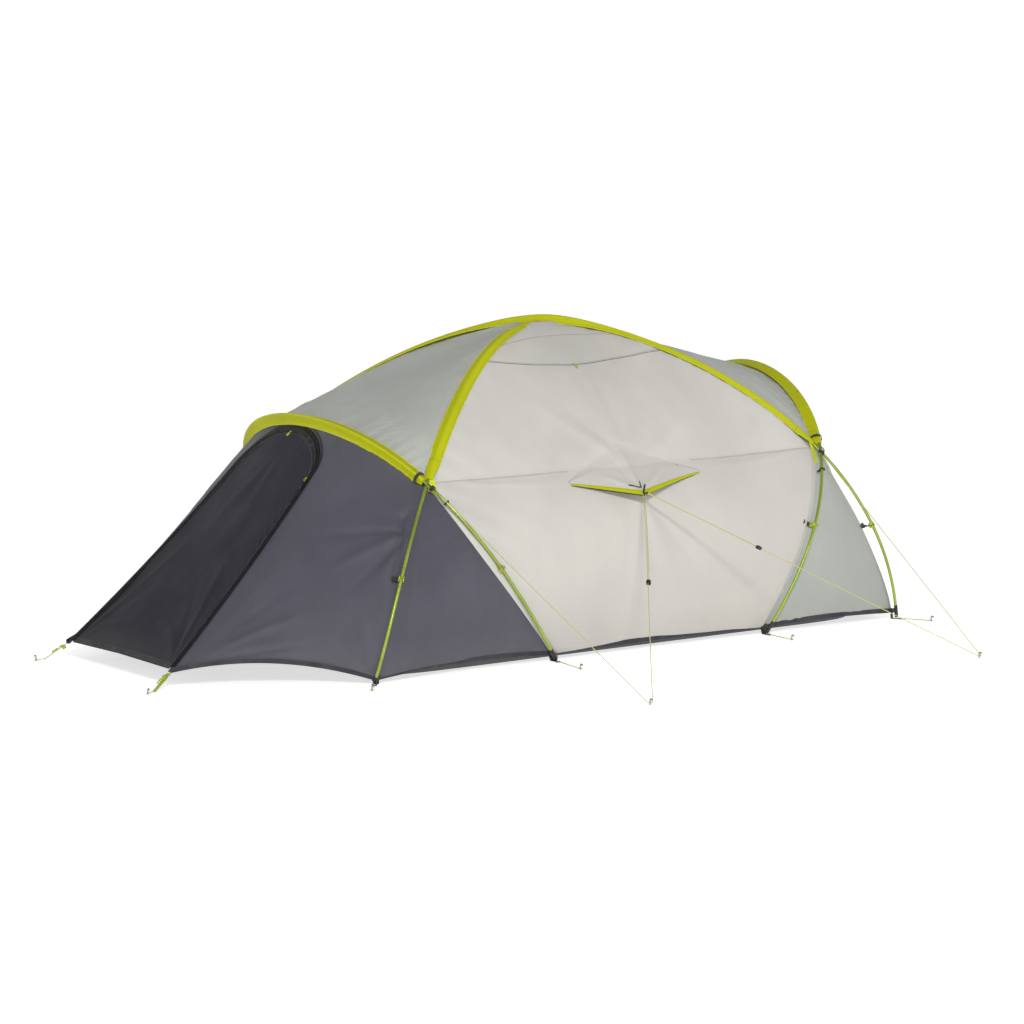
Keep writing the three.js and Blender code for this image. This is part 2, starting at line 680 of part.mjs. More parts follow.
// A sheet whose first and last columns are one and the same, with a lid.
function ringSheet(grid, keep) {
  const columns = grid[0].length - 1;
  const top = grid[grid.length - 1];
  const peak = new THREE.Vector3();
  for (let i = 0; i < columns; i += 1) peak.addScaledVector(top[i], 1 / columns);
  peak.z += 14;
  const faces = [];
  // The inner face lies inward of the walls and below the roof.
  const shrink = (p) => {
    const flat = flatten(p.clone().setX(p.x - APEX_X));
    const lean = THREE.MathUtils.clamp((p.z - 400) / 700, 0, 1);
    const down = new THREE.Vector3(0, 0, -CLOTH * 1.6 * lean);
    return p.clone().addScaledVector(flat, -CLOTH * (1 - lean) * 1.2).add(down);
  };
  const quad = (a, b, c, d) => faces.push(a, b, c, a, c, d);
  const edges = new Map();
  const note = (a, b, p, q) => edges.set(`${a} ${b}`, [p, q]);
  for (let j = 0; j + 1 < grid.length; j += 1) {
    for (let i = 0; i < columns; i += 1) {
      if (!keep(j, i)) continue;
      const k = (i + 1) % columns;
      const [a, b, c, d] = [grid[j][i], grid[j][k], grid[j + 1][k], grid[j + 1][i]];
      quad(a, b, c, d);
      quad(shrink(a), shrink(d), shrink(c), shrink(b));
      note(`${j},${i}`, `${j},${k}`, a, b);
      note(`${j},${k}`, `${j + 1},${k}`, b, c);
      note(`${j + 1},${k}`, `${j + 1},${i}`, c, d);
      note(`${j + 1},${i}`, `${j},${i}`, d, a);
    }
  }
  const last = grid.length - 1;
  for (let i = 0; i < columns; i += 1) {
    const k = (i + 1) % columns;
    faces.push(top[i], top[k], peak);
    faces.push(shrink(top[k]), shrink(top[i]), shrink(peak));
    note(`${last},${i}`, `${last},${k}`, top[i], top[k]);
  }
  for (const [key, [p, q]] of edges) {
    const [a, b] = key.split(' ');
    if (edges.has(`${b} ${a}`)) continue;
    quad(q, p, shrink(p), shrink(q));
  }
  return new THREE.BufferGeometry().setFromPoints(faces);
}

function innerDoor() {
  const gap = 0.05;
  const columns = steps(INNER_DOOR.from + gap, INNER_DOOR.to - gap, 6);
  const rows = [INNER_DOOR.low + 0.04, 1, 2, 3, 4, INNER_DOOR.high - 0.04];
  const grid = rows.map((row) => columns.map((column) => innerAt(column, row)));
  return sheet(grid);
}

// --------------------------------------------------------- pole sleeves
// A flat tube of cloth round a stretch of pole, open at both ends.
function sleeve(curve, from, to, count) {
  const sides = 8;
  const ring = (t, width, height) => {
    const centre = curve.getPoint(t);
    const along = curve.getTangent(t);
    const up = outward(centre);
    up.addScaledVector(along, -up.dot(along)).normalize();
    const across = up.clone().cross(along);
    return Array.from({ length: sides }, (_, k) => {
      const angle = (2 * Math.PI * (k + 0.5)) / sides;
      return centre.clone()
        .addScaledVector(across, width * Math.cos(angle))
        .addScaledVector(up, height * Math.sin(angle));
    });
  };
  const places = steps(from, to, count);
  const outer = places.map((t) => ring(t, SLEEVE.width, SLEEVE.height));
  const inner = places.map((t) => ring(t, SLEEVE.width - SLEEVE.wall, SLEEVE.height - SLEEVE.wall));
  const faces = [];
  const quad = (a, b, c, d) => faces.push(a, b, c, a, c, d);
  for (let k = 0; k < sides; k += 1) {
    const m = (k + 1) % sides;
    for (let i = 0; i < count; i += 1) {
      quad(outer[i][k], outer[i][m], outer[i + 1][m], outer[i + 1][k]);
      quad(inner[i][k], inner[i + 1][k], inner[i + 1][m], inner[i][m]);
    }
    quad(outer[0][m], outer[0][k], inner[0][k], inner[0][m]);
    quad(outer[count][k], outer[count][m], inner[count][m], inner[count][k]);
  }
  return new THREE.BufferGeometry().setFromPoints(faces);
}

// -------------------------------------------------------------- assembly
for (const [name, curve] of Object.entries(POLES)) add(`pole_${name}`, 'pole', tube(curve, POLE_R, 38));

const SLEEVE_START = 0.04;       // the sleeves begin this far above a crossing
const sleeveEnds = (leftLeg, rightLeg) => [
  (CROSS[leftLeg] + SLEEVE_START) / 2,
  1 - (CROSS[rightLeg] + SLEEVE_START) / 2,
];
function addSleeve(pole, leftLeg, rightLeg, count) {
  add(`sleeve_${pole}`, 'sleeve', sleeve(POLES[pole], ...sleeveEnds(leftLeg, rightLeg), count));
}
addSleeve('hoop_front', 'hoop_front', 'hoop_front', 22);
addSleeve('hoop_rear', 'hoop_rear', 'hoop_rear', 22);
addSleeve('main_over', 'corner_rear', 'corner_front', 24);
addSleeve('main_under', 'corner_front', 'corner_rear', 24);

addPair('fly_side', 'canopy', flySide());
add('fly_roof_front', 'canopy', flyRoof('hoop_front', 'corner_front', 0.85, true));
add('fly_roof_rear', 'canopy', flyRoof('hoop_rear', 'corner_rear', 0.85, false));
add('fly_vestibule', 'vestibule', flyVestibule());
add('fly_rear', 'canopy', flyRear());
add('fly_door', 'door', flyDoor());
add('door_zip', 'tape', doorZip());
add('zip_slider', 'plastic', zipSlider());
addPair('vent_hood', 'canopy', ventHood());
addPair('hem', 'tape', hemTape());
for (const leg of ['corner_front', 'corner_rear']) addPair(`foot_strap_${leg}`, 'strap', footStrap(leg));
addPair('corner_strap', 'plastic', cornerStrap());
for (const leg of Object.keys(LEG)) addPair(`clip_${leg}`, 'plastic', poleClip(leg));
const PEGS = { ...PEG_AT, ...GUY_PEGS };
for (const [name, place] of Object.entries(PEGS)) addPair(`peg_${name}`, 'peg', peg(place));
for (const [name, route] of Object.entries(ROUTES)) addPair(name, 'cord', cord(route));
for (const [name, ends] of Object.entries(TENSIONERS)) {
  addPair(`tensioner_${name}`, 'plastic', tensioner(ends));
}
add('inner_floor', 'floor', innerFloor());
add('inner_canopy', 'inner', innerCanopy());
add('inner_door', 'inner', innerDoor());

export default tent;
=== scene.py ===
"""A dome tent: cloth, poles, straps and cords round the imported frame.

Metres, +Z up. The door faces -X, the left side is -Y, and the tent is the same on both sides.
"""

import math

import bpy
import numpy as np
from mathutils import Matrix, Vector


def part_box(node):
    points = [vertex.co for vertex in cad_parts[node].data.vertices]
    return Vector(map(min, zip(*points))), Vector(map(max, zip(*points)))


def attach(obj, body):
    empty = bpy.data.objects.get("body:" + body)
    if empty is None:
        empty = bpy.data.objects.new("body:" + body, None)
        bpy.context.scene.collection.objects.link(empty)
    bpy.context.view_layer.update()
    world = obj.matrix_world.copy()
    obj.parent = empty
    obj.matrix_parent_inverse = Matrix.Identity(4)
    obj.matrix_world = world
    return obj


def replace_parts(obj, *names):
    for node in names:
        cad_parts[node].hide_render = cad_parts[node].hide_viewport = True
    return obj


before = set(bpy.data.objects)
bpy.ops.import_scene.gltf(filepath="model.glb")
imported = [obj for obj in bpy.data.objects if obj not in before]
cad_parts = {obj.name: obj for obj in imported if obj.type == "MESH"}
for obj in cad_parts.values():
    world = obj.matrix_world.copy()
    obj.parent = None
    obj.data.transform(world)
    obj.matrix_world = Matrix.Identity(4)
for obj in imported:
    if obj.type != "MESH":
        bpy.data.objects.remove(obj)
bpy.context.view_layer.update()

# ------------------------------------------------------------------ driving sizes
APEX_X = 0.42675  # the apex stands this far behind the middle
APEX_Z = 1.2
POLE_R = 0.0058
FOOT_Z = 0.008  # lowest point of a pole's centre line
MAIN_LIFT = 0.0115  # the main poles pass over and under by this
LIFT_REACH = 0.22  # and the lift dies away over this distance
INSET = {"hoop": 0.030, "main": 0.016}  # cloth seam below a pole's centre line
APEX_INSET = {"hoop": 0, "main": 0.010}  # added to that below the apex
HALF_LENGTH, HALF_WIDTH = 1.27, 0.85  # of the dome, for its normals
HEM_T = 0.008  # where the hem crosses a leg, along the leg
REAR_SEAM_SHIFT = 0.032  # the cloth's edge hangs this far in from the rear corner poles
LEG_SEAM_SHIFT = 0.035  # and bows this far forward of the front hoop's legs
VESTIBULE = (-1.867, -0.442, 0.062)  # the vestibule's left corner
REAR_HEM_X, REAR_HEM_Z = 1.075, 0.034  # the middle of the rear hem
NEAR_APEX = 0.965  # where the panels end on a main half pole
KNEE = 0.6  # rows above this lie above the crossings
CREASE_T, CREASE_SAG = 0.8, 0.012  # where the vestibule's crease leaves the hoop, and its sag
# The door as parts of the front: half its width, the rows of its arch's foot and top, the gap round it.
DOOR_HALF, DOOR_FOOT, DOOR_TOP, DOOR_GAP = 0.93, 0.2, 0.05, 0.02
# The hood's ends and peak across the side, and how far it stands off.
HOOD_LEFT, HOOD_RIGHT, HOOD_PEAK, HOOD_REACH = 0.335, 0.674, 0.481, 0.095
SLEEVE_LIFT = {"hoop": 0.004, "main": 0.016}  # a sleeve's edges above its seam, as the cloth rises to it
STRAP_W, STRAP_T, STRAP_Z = 0.02, 0.0015, 0.0005  # webbing under the feet
PEG_SHAFT, PEG_BEND = 0.014, 0.007  # a peg's shaft above the ground and its bend
CORD_R = 0.0015
CLOTH_T, BAND_T = 0.0007, 0.0006  # thickness of the cloth and of tape

LEGS = {  # half poles on the left, from the foot to the top of the arch
    "hoop_front": [
        (-0.511, -0.838, FOOT_Z), (-0.969, -1.007, 0.696), (-1.099, -0.483, 0.894), (-1.099, 0, 0.894),
    ],
    "hoop_rear": [
        (0.444, -0.842, FOOT_Z), (0.840, -1.070, 0.716), (0.989, -0.305, 0.984), (0.989, 0, 0.984),
    ],
    "corner_front": [
        (-1.271, -0.838, FOOT_Z), (-1.262, -1.060, 0.369), (-0.680, -0.369, APEX_Z), (0, 0, APEX_Z),
    ],
    "corner_rear": [
        (1.065, -0.862, FOOT_Z), (0.984, -0.909, 0.812), (0.308, -0.167, APEX_Z), (0, 0, APEX_Z),
    ],
}
CROSS = {"hoop_front": 0.461, "corner_front": 0.455, "hoop_rear": 0.425, "corner_rear": 0.336}
POLES = {  # the half pole going up on the left, the one coming down on the right, the lift
    "hoop_front": ("hoop_front", "hoop_front", 0),
    "hoop_rear": ("hoop_rear", "hoop_rear", 0),
    "main_over": ("corner_rear", "corner_front", MAIN_LIFT),
    "main_under": ("corner_front", "corner_rear", -MAIN_LIFT),
}
PEG_AT = {
    "corner_front": (-1.345, -0.950),
    "hoop_front": (-0.545, -1.050),
    "hoop_rear": (0.428, -1.020),
    "corner_rear": (1.120, -1.005),
    "vestibule": (-1.977, -0.484),
    "guy_front": (-0.770, -1.805),
    "guy_rear": (0.675, -1.793),
}
CLIP_T = {"corner_front": 0.262, "hoop_front": 0.2, "hoop_rear": 0.215, "corner_rear": 0.167}
ROUTES = {  # the left guylines, in millimetres from the ground below the apex
    "guyline_front": [
        (-938, -737, 650), (-928, -801, 612), (-906, -950, 522), (-874, -1162, 394), (-843, -1375, 267),
        (-811, -1588, 139), (-790, -1726, 56), (-779, -1800, 11), (-776, -1810, 8), (-772, -1813, 8),
        (-767, -1812, 8), (-760, -1805, 11), (-708, -1728, 57), (-631, -1614, 126), (-534, -1472, 213),
        (-437, -1329, 300), (-340, -1186, 386), (-243, -1043, 473), (-146, -896, 561), (-130, -866, 578),
        (-122, -856, 584), (-115, -854, 587), (-114, -861, 584), (-120, -872, 578), (-142, -899, 561),
        (-239, -1046, 473), (-365, -1232, 360), (-404, -1289, 325),
    ],
    "guyline_rear": [
        (808, -745, 655), (801, -808, 616), (783, -954, 526), (758, -1162, 397), (733, -1371, 269),
        (709, -1579, 140), (692, -1715, 56), (684, -1788, 11), (681, -1798, 8), (677, -1801, 8),
        (673, -1801, 8), (665, -1794, 11), (603, -1719, 57), (511, -1606, 126), (395, -1465, 213),
        (280, -1325, 300), (164, -1184, 386), (48, -1044, 473), (-74, -900, 562), (-98, -875, 579),
        (-105, -864, 585), (-105, -857, 587), (-98, -859, 585), (-89, -868, 579), (-70, -896, 562),
        (52, -1040, 473), (118, -1120, 424), (164, -1176, 389),
    ],
}
TENSIONERS = {  # where each line lock sits and where its strands lead, in the same millimetres
    "front": ((-406, -1287, 326), (-205, -991, 505)),
    "rear": ((162, -1178, 389), (-68, -899, 560)),
}
SIDES = (("left", 1), ("right", -1))
UP = np.array([0, 0, 1.0])
FRONT_OUT = np.array([-0.735, 0, 0.678])  # the way the vestibule's front faces
STRIP = np.array([  # section of a moulded strip, in halves of its width and thickness
    (1, 0.5), (0.85, 1), (-0.85, 1), (-1, 0.5), (-1, -0.5), (-0.85, -1), (0.85, -1), (1, -0.5),
])


def at(x, y, z):
    """A point written from the spot on the ground below the apex."""
    return np.array([x + APEX_X, y, z], float)


def lerp(a, b, t):
    return a + (b - a) * t


def tall(t):
    return np.asarray(t, float)[..., None]


def unit(v):
    return v / np.maximum(np.linalg.norm(v, axis=-1, keepdims=True), 1e-12)


def arch(t):
    return 4 * t * (1 - t)


def mirrored(p):
    return p * np.array([1.0, -1.0, 1.0])


def travelled(p):
    """How far each point of a path is from its start."""
    return np.concatenate([[0], np.cumsum(np.linalg.norm(np.diff(p, axis=0), axis=-1))])


def squared(v, way):
    """The direction nearest to v that is square to a way."""
    return unit(v - way * (v @ way))


def arc(centre, a, b, angle, wide, high):
    """Points round a centre at those angles from a towards b."""
    return centre + tall(np.cos(angle) * wide) * a + tall(np.sin(angle) * high) * b


def grip(radius, tip, shoulder, waist):
    """Radii along a moulded end: rounded tips and a narrower waist."""
    return radius * np.array([tip, shoulder, 1, 1, waist, 1, 1, shoulder, tip])


def smooth(a, b, x):
    """0 below a, 1 above b and smooth between them."""
    t = np.clip((x - a) / (b - a), 0, 1)
    return t * t * (3 - 2 * t)


# ------------------------------------------------------------------ camera, floor, light
def add_camera():
    """The view from the tent's left front, a little above its apex."""
    yaw, pitch, roll = -0.562, 0.110, -0.027
    back = np.array([math.sin(yaw) * math.cos(pitch), -math.cos(yaw) * math.cos(pitch), math.sin(pitch)])
    right = np.array([math.cos(yaw), math.sin(yaw), 0])
    up = np.cross(back, right)
    right, up = right * math.cos(roll) + up * math.sin(roll), up * math.cos(roll) - right * math.sin(roll)
    data = bpy.data.cameras.new("camera")
    data.sensor_width = 36
    data.lens = 105.47
    camera = bpy.data.objects.new("camera", data)
    bpy.context.collection.objects.link(camera)
    turn = Matrix([[right[i], up[i], back[i]] for i in range(3)]).to_4x4()
    camera.matrix_world = Matrix.Translation((-6.384 + APEX_X, -9.891, 1.744)) @ turn
    bpy.context.scene.camera = camera


def add_floor():
    """A plain pale floor under the tent."""
    size = 40
    mesh = bpy.data.meshes.new("floor")
    corners = [(-size, -size, 0), (size, -size, 0), (size, size, 0), (-size, size, 0)]
    mesh.from_pydata(corners, [], [(0, 1, 2, 3)])
    floor = bpy.data.objects.new("floor", mesh)
    bpy.context.collection.objects.link(floor)
    material = bpy.data.materials.new("floor")
    material.use_nodes = True
    shader = material.node_tree.nodes["Principled BSDF"]
    shader.inputs["Base Color"].default_value = (0.8, 0.8, 0.8, 1)
    shader.inputs["Roughness"].default_value = 0.9
    shader.inputs["Emission Color"].default_value = (1, 1, 1, 1)
    shader.inputs["Emission Strength"].default_value = 0.66
    mesh.materials.append(material)


def add_light():
    """One lamp, high at the tent's left front."""
    place, target = Vector((-4.5, -9.5, 5.2)), Vector((0.2, 0, 0.7))
    data = bpy.data.lights.new("key", "AREA")
    data.shape = "DISK"
    data.size = 1.3
    data.energy = 700
    lamp = bpy.data.objects.new("key", data)
    bpy.context.collection.objects.link(lamp)
    lamp.location = place
    lamp.rotation_euler = (target - place).to_track_quat("-Z", "Y").to_euler()


def add_world():
    """A white studio: bright round the horizon and dim overhead."""
    world = bpy.data.worlds.new("world")
    world.use_nodes = True
    tree = world.node_tree
    place = tree.nodes.new("ShaderNodeTexCoord")
    split = tree.nodes.new("ShaderNodeSeparateXYZ")
    fade = tree.nodes.new("ShaderNodeMapRange")
    tree.links.new(place.outputs["Generated"], split.inputs[0])
    tree.links.new(split.outputs["Z"], fade.inputs["Value"])
    for socket, value in (("From Min", 0.08), ("From Max", 0.75), ("To Min", 1.05), ("To Max", 0.24)):
        fade.inputs[socket].default_value = value
    background = tree.nodes["Background"]
    background.inputs["Color"].default_value = (1, 1, 1, 1)
    tree.links.new(fade.outputs["Result"], background.inputs["Strength"])
    bpy.context.scene.world = world


add_camera()
add_floor()
add_world()
add_light()
bpy.context.scene.view_settings.view_transform = "Standard"


# ------------------------------------------------------------------ meshes
def add_object(name, points, faces, material, slot, body, uv):
    """A smooth mesh object from points, faces and each face corner's uv."""
    mesh = bpy.data.meshes.new(name)
    mesh.from_pydata([tuple(p) for p in points], [], faces)
    mesh.uv_layers.new(name="cloth").data.foreach_set("uv", np.asarray(uv, np.float32).ravel())
    mesh.shade_smooth()
    mesh.materials.append(MATERIALS[material])
    made = bpy.data.objects.new(name, mesh)
    bpy.context.collection.objects.link(made)
    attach(made, body)
    return made


def lengths(grid):
    """How far each point of a grid is along its row and down its column."""
    across = np.zeros(grid.shape[:2])
    down = np.zeros(grid.shape[:2])
    across[:, 1:] = np.cumsum(np.linalg.norm(np.diff(grid, axis=1), axis=-1), axis=1)
    down[1:] = np.cumsum(np.linalg.norm(np.diff(grid, axis=0), axis=-1), axis=0)
    middle = grid.shape[1] // 2
    return across - across[:, middle:middle + 1], down


def grid_faces(rows, columns, keep=None, wrap=False, ring=False):
    """The kept cells of a grid, which may close on itself across (wrap) and down (ring)."""
    faces = []
    for j in range(rows - (not ring)):
        for i in range(columns - (not wrap)):
            if keep is None or keep[j, i]:
                k, m = (i + 1) % columns, (j + 1) % rows
                faces.append((j * columns + i, j * columns + k, m * columns + k, m * columns + i))
    return faces


def normals_of(grid):
    return unit(np.cross(np.gradient(grid, axis=1), np.gradient(grid, axis=0)))


def add_sheet(name, grid, material, slot, body="tent", thickness=CLOTH_T, keep=None, outside=1):
    """A closed thin sheet whose outer face is the grid. outside is the side its normals leave."""
    rows, columns = grid.shape[:2]
    across, down = lengths(grid)
    flat = np.stack([across, -down], axis=-1).reshape(-1, 2)
    outer = grid.reshape(-1, 3)
    inner = outer - (normals_of(grid) * outside * thickness).reshape(-1, 3)
    cells = grid_faces(rows, columns, keep)
    if outside < 0:
        cells = [c[::-1] for c in cells]
    count = len(outer)
    faces = list(cells) + [tuple(count + i for i in c[::-1]) for c in cells]
    edges = {(c[k], c[(k + 1) % 4]) for c in cells for k in range(4)}
    rim = [(a, b) for a, b in edges if (b, a) not in edges]
    faces += [(b, a, count + a, count + b) for a, b in sorted(rim)]
    corner_uv = flat[[i % count for f in faces for i in f]]
    used = sorted({i for f in faces for i in f})
    place = {old: new for new, old in enumerate(used)}
    points = np.concatenate([outer, inner])[used]
    faces = [tuple(place[i] for i in f) for f in faces]
    made = add_object(name, points, faces, material, slot, body, corner_uv)
    sharpen_rim(made, len(cells))
    return made


def sharpen_rim(made, cells):
    """Both faces of a sheet shade smoothly, and its cut edge doesn't bend their shading."""
    mesh = made.data
    rim = {tuple(sorted(e)) for f in mesh.polygons[2 * cells:] for e in f.edge_keys}
    both = {tuple(sorted(e)) for f in mesh.polygons[:2 * cells] for e in f.edge_keys}
    for edge in mesh.edges:
        key = tuple(sorted(edge.vertices))
        edge.use_edge_sharp = key in rim and key in both


def frames(centres, ups):
    """Across and up at each point of a path, square to it and to each other."""
    along = unit(np.gradient(centres, axis=0))
    ups = unit(ups - along * (ups * along).sum(-1, keepdims=True))
    return np.cross(along, ups), ups


def sweep(name, centres, ups, profile, material, slot, body="tent"):
    """A closed section carried along a path. profile is (points, 2) or one such section per path point."""
    across, ups = frames(centres, ups)
    profile = np.broadcast_to(profile, (len(centres),) + np.shape(profile)[-2:])
    grid = centres[:, None] + across[:, None] * profile[..., :1] + ups[:, None] * profile[..., 1:]
    rows, columns = grid.shape[:2]
    faces = grid_faces(rows, columns, wrap=True)
    faces += [tuple(range(columns))[::-1], tuple((rows - 1) * columns + i for i in range(columns))]
    faces = [face[::-1] for face in faces]
    run, girth = travelled(centres), travelled(profile[0])
    step = np.linalg.norm(profile[0, 0] - profile[0, -1])
    uv = []
    for face in faces:
        for i in face:
            j, k = divmod(i, columns)
            seam = columns - 1 in (c % columns for c in face) and k == 0 and len(face) == 4
            uv.append((girth[k] if not seam else girth[-1] + step, run[j]))
    made = add_object(name, grid.reshape(-1, 3), faces, material, slot, body, uv)
    for polygon in made.data.polygons[-2:]:
        polygon.use_smooth = False
    return made


def add_tube(name, centres, radius, material, slot, sign=1, sides=10, body="tent"):
    """A round rod along a path; radius is one number or one per point."""
    if sign < 0:
        centres = mirrored(centres)
    ups = np.zeros_like(centres)
    up = np.array([0.11, 0.23, 0.97])
    along = unit(np.gradient(centres, axis=0))
    for i, direction in enumerate(along):
        up = unit(up - direction * (up @ direction))
        ups[i] = up
    angle = np.arange(sides) * 2 * math.pi / sides
    circle = np.stack([np.cos(angle), np.sin(angle)], axis=-1)
    section = circle * np.broadcast_to(radius, (len(centres),))[:, None, None]
    return sweep(name, centres, ups, section, material, slot, body)


def spline(points, count):
    """Points on a Catmull-Rom curve through the given ones."""
    p = np.asarray(points, float)
    p = np.concatenate([2 * p[:1] - p[1:2], p, 2 * p[-1:] - p[-2:-1]])
    s = np.linspace(0, len(points) - 1 - 1e-9, count)
    i = s.astype(int)
    t = tall(s - i)
    a, b, c, d = p[i], p[i + 1], p[i + 2], p[i + 3]
    square, cube = 2 * a - 5 * b + 4 * c - d, 3 * b - a - 3 * c + d
    return 0.5 * (2 * b + (c - a) * t + square * t ** 2 + cube * t ** 3)


# ------------------------------------------------------------------ the dome's curves
def bezier(points, t):
    p, t = np.array(points, float), tall(t)
    s = 1 - t
    curve = s ** 3 * p[0] + 3 * s * s * t * p[1] + 3 * s * t * t * p[2] + t ** 3 * p[3]
    return curve + np.array([APEX_X, 0, 0])


def outward(p):
    """The dome's outward direction at a point, as on an ellipsoid."""
    return unit((p - np.array([APEX_X, 0, 0])) / np.array([HALF_LENGTH, HALF_WIDTH, APEX_Z]) ** 2)


def from_apex(p):
    """1 at the apex, falling to 0 over the reach of the main poles' lift."""
    return np.exp(-(np.hypot(p[..., 0] - APEX_X, p[..., 1]) / LIFT_REACH) ** 2)


def kind(pole):
    return "hoop" if pole.startswith("hoop") else "main"


def inset_at(pole, p):
    """How far below a pole's centre line the cloth's seam lies at p."""
    return INSET[kind(pole)] + APEX_INSET[kind(pole)] * from_apex(p)


def seam(leg, t):
    """The cloth's seam below a half pole at t."""
    p = bezier(LEGS[leg], t)
    return p - outward(p) * tall(inset_at(leg, p))


def pole_point(pole, t):
    """A point on a whole pole, from its left foot at 0 to its right foot at 1."""
    left, right, lift = POLES[pole]
    t = np.asarray(t, float)
    up = bezier(LEGS[left], np.clip(2 * t, 0, 1))
    down = mirrored(bezier(LEGS[right], np.clip(2 - 2 * t, 0, 1)))
    p = np.where(tall(t < 0.5), up, down)
    p[..., 2] += lift * from_apex(p)
    return p


def seam_along(leg, start, end):
    return lambda t: seam(leg, lerp(start, end, np.asarray(t, float)))


def line(p, q):
    return lambda t: lerp(np.asarray(p), np.asarray(q), tall(t))


def bowed(p, q, bow):
    """From p to q, bowed by a vector at the middle."""
    return lambda t: lerp(p, q, tall(t)) + tall(arch(np.asarray(t, float))) * np.asarray(bow, float)


def patch(top, bottom, left, right):
    """The surface between four edges. Top and bottom run left to right, left and right run down."""
    corners = [left(0.0), right(0.0), left(1.0), right(1.0)]

    def surface(u, v):
        rows = lerp(top(u), bottom(u), tall(v)) + lerp(left(v), right(v), tall(u))
        ends = lerp(lerp(corners[0], corners[1], tall(u)), lerp(corners[2], corners[3], tall(u)), tall(v))
        return rows - ends

    return surface


def front_leg_seam(t):
    t = np.asarray(t, float)
    p = seam("hoop_front", lerp(CROSS["hoop_front"], HEM_T, t))
    p[..., 0] -= LEG_SEAM_SHIFT * np.sin(math.pi * t)
    return p


rear_leg_seam = seam_along("hoop_rear", CROSS["hoop_rear"], HEM_T)
FOOT = {leg: seam(leg, HEM_T) for leg in LEGS}


def side_edge(leg, lower):
    """Down a main pole's seam to the crossing, and on down the hoop's leg."""
    upper = seam_along(leg, NEAR_APEX, CROSS[leg])

    def edge(v):
        v = np.asarray(v, float)
        high, low = upper(np.clip(v / KNEE, 0, 1)), lower(np.clip((v - KNEE) / (1 - KNEE), 0, 1))
        return np.where(tall(v < KNEE), high, low)

    return edge


SIDE_LEFT = side_edge("corner_front", front_leg_seam)
SIDE_RIGHT = side_edge("corner_rear", rear_leg_seam)
SIDE_HEM = bowed(FOOT["hoop_front"], FOOT["hoop_rear"], (0, 0, 0.007))
side = patch(line(SIDE_LEFT(0.0), SIDE_RIGHT(0.0)), SIDE_HEM, SIDE_LEFT, SIDE_RIGHT)


def roof(hoop_leg, main_leg, hollow):
    """From a hoop, v = 0, up to the apex between the main poles, hollowed by part of their bulge."""
    edge = seam_along(main_leg, CROSS[main_leg], NEAR_APEX)
    ridge = seam_along(hoop_leg, CROSS[hoop_leg], 1)

    def hoop(u):
        u = np.asarray(u, float)
        return np.where(tall(u < 0.5), ridge(np.clip(2 * u, 0, 1)), mirrored(ridge(np.clip(2 - 2 * u, 0, 1))))

    surface = patch(hoop, line(edge(1.0), mirrored(edge(1.0))), edge, lambda t: mirrored(edge(t)))
    chord = line(edge(0.0), edge(1.0))

    def cloth(u, v):
        bulge = (edge(v) - chord(v)) * tall(hollow * arch(u))
        bulge[..., 1] = 0
        return surface(u, v) - bulge

    return cloth


CORNER_POINT = at(*VESTIBULE)
FRONT_HEM = bowed(FOOT["hoop_front"], FOOT["corner_front"], (0, 0, 0.018))
FLANK_HEM = bowed(FOOT["corner_front"], CORNER_POINT, (0, 0, 0.048))
REAR_HEM = bowed(FOOT["hoop_rear"], FOOT["corner_rear"], (0, 0, 0.010))
FRONT_POINT = at(VESTIBULE[0], 0, VESTIBULE[2] + 0.006)
SAG = (CREASE_SAG, 0, -CREASE_SAG)
crease = bowed(seam("hoop_front", CREASE_T), CORNER_POINT, SAG)
front_line = bowed(seam("hoop_front", 1), FRONT_POINT, SAG)
front_pole_seam = seam_along("corner_front", CROSS["corner_front"], HEM_T)
front_corner = patch(
    line(front_leg_seam(0.06), front_pole_seam(0.0)),
    FRONT_HEM,
    lambda v: front_leg_seam(lerp(0.06, 1, np.asarray(v, float))),
    front_pole_seam,
)
flank = patch(seam_along("hoop_front", CROSS["hoop_front"], CREASE_T), FLANK_HEM, front_pole_seam, crease)
front_half = patch(seam_along("hoop_front", CREASE_T, 1), line(CORNER_POINT, FRONT_POINT), crease, front_line)


def front(s, v):
    """A point on the whole front at s from -1, the left crease, to 1, the right crease."""
    s = np.asarray(s, float)
    p = front_half(1 - np.abs(s), v)
    return np.where(tall(s <= 0), p, mirrored(p))


def door_arch(s, half, grow):
    """How far down the front the door's arch lies at s."""
    curve = np.sqrt(np.clip(1 - (s / half) ** 2, 0, 1))
    return lerp(DOOR_FOOT, DOOR_TOP, curve) - grow


def rear_pole_seam(t):
    t = np.asarray(t, float)
    p = seam("corner_rear", lerp(CROSS["corner_rear"], HEM_T, t))
    return p - outward(p) * tall(REAR_SEAM_SHIFT * np.sin(math.pi * t))


REAR_MIDDLE = at(REAR_HEM_X, 0, REAR_HEM_Z)


def rear_leg(v):
    return rear_leg_seam(lerp(0.06, 1, np.asarray(v, float)))


rear_corner = patch(line(rear_leg(0.0), rear_pole_seam(0.0)), REAR_HEM, rear_leg, rear_pole_seam)
rear_wall = patch(
    seam_along("hoop_rear", CROSS["hoop_rear"], 1),
    line(FOOT["corner_rear"], REAR_MIDDLE),
    rear_pole_seam,
    line(seam("hoop_rear", 1), REAR_MIDDLE),
)


# ------------------------------------------------------------------ materials
def colour(r, g, b):
    """A linear colour from its 0 to 255 values on a screen."""
    screen = np.array([r, g, b]) / 255
    linear = np.where(screen <= 0.04045, screen / 12.92, ((screen + 0.055) / 1.055) ** 2.4)
    return (*(float(c) for c in linear), 1.0)


def dimmed(rgb, share):
    """A share, or more than all, of a colour's light."""
    return (*(min(1, share * c) for c in colour(*rgb)[:3]), 1.0)


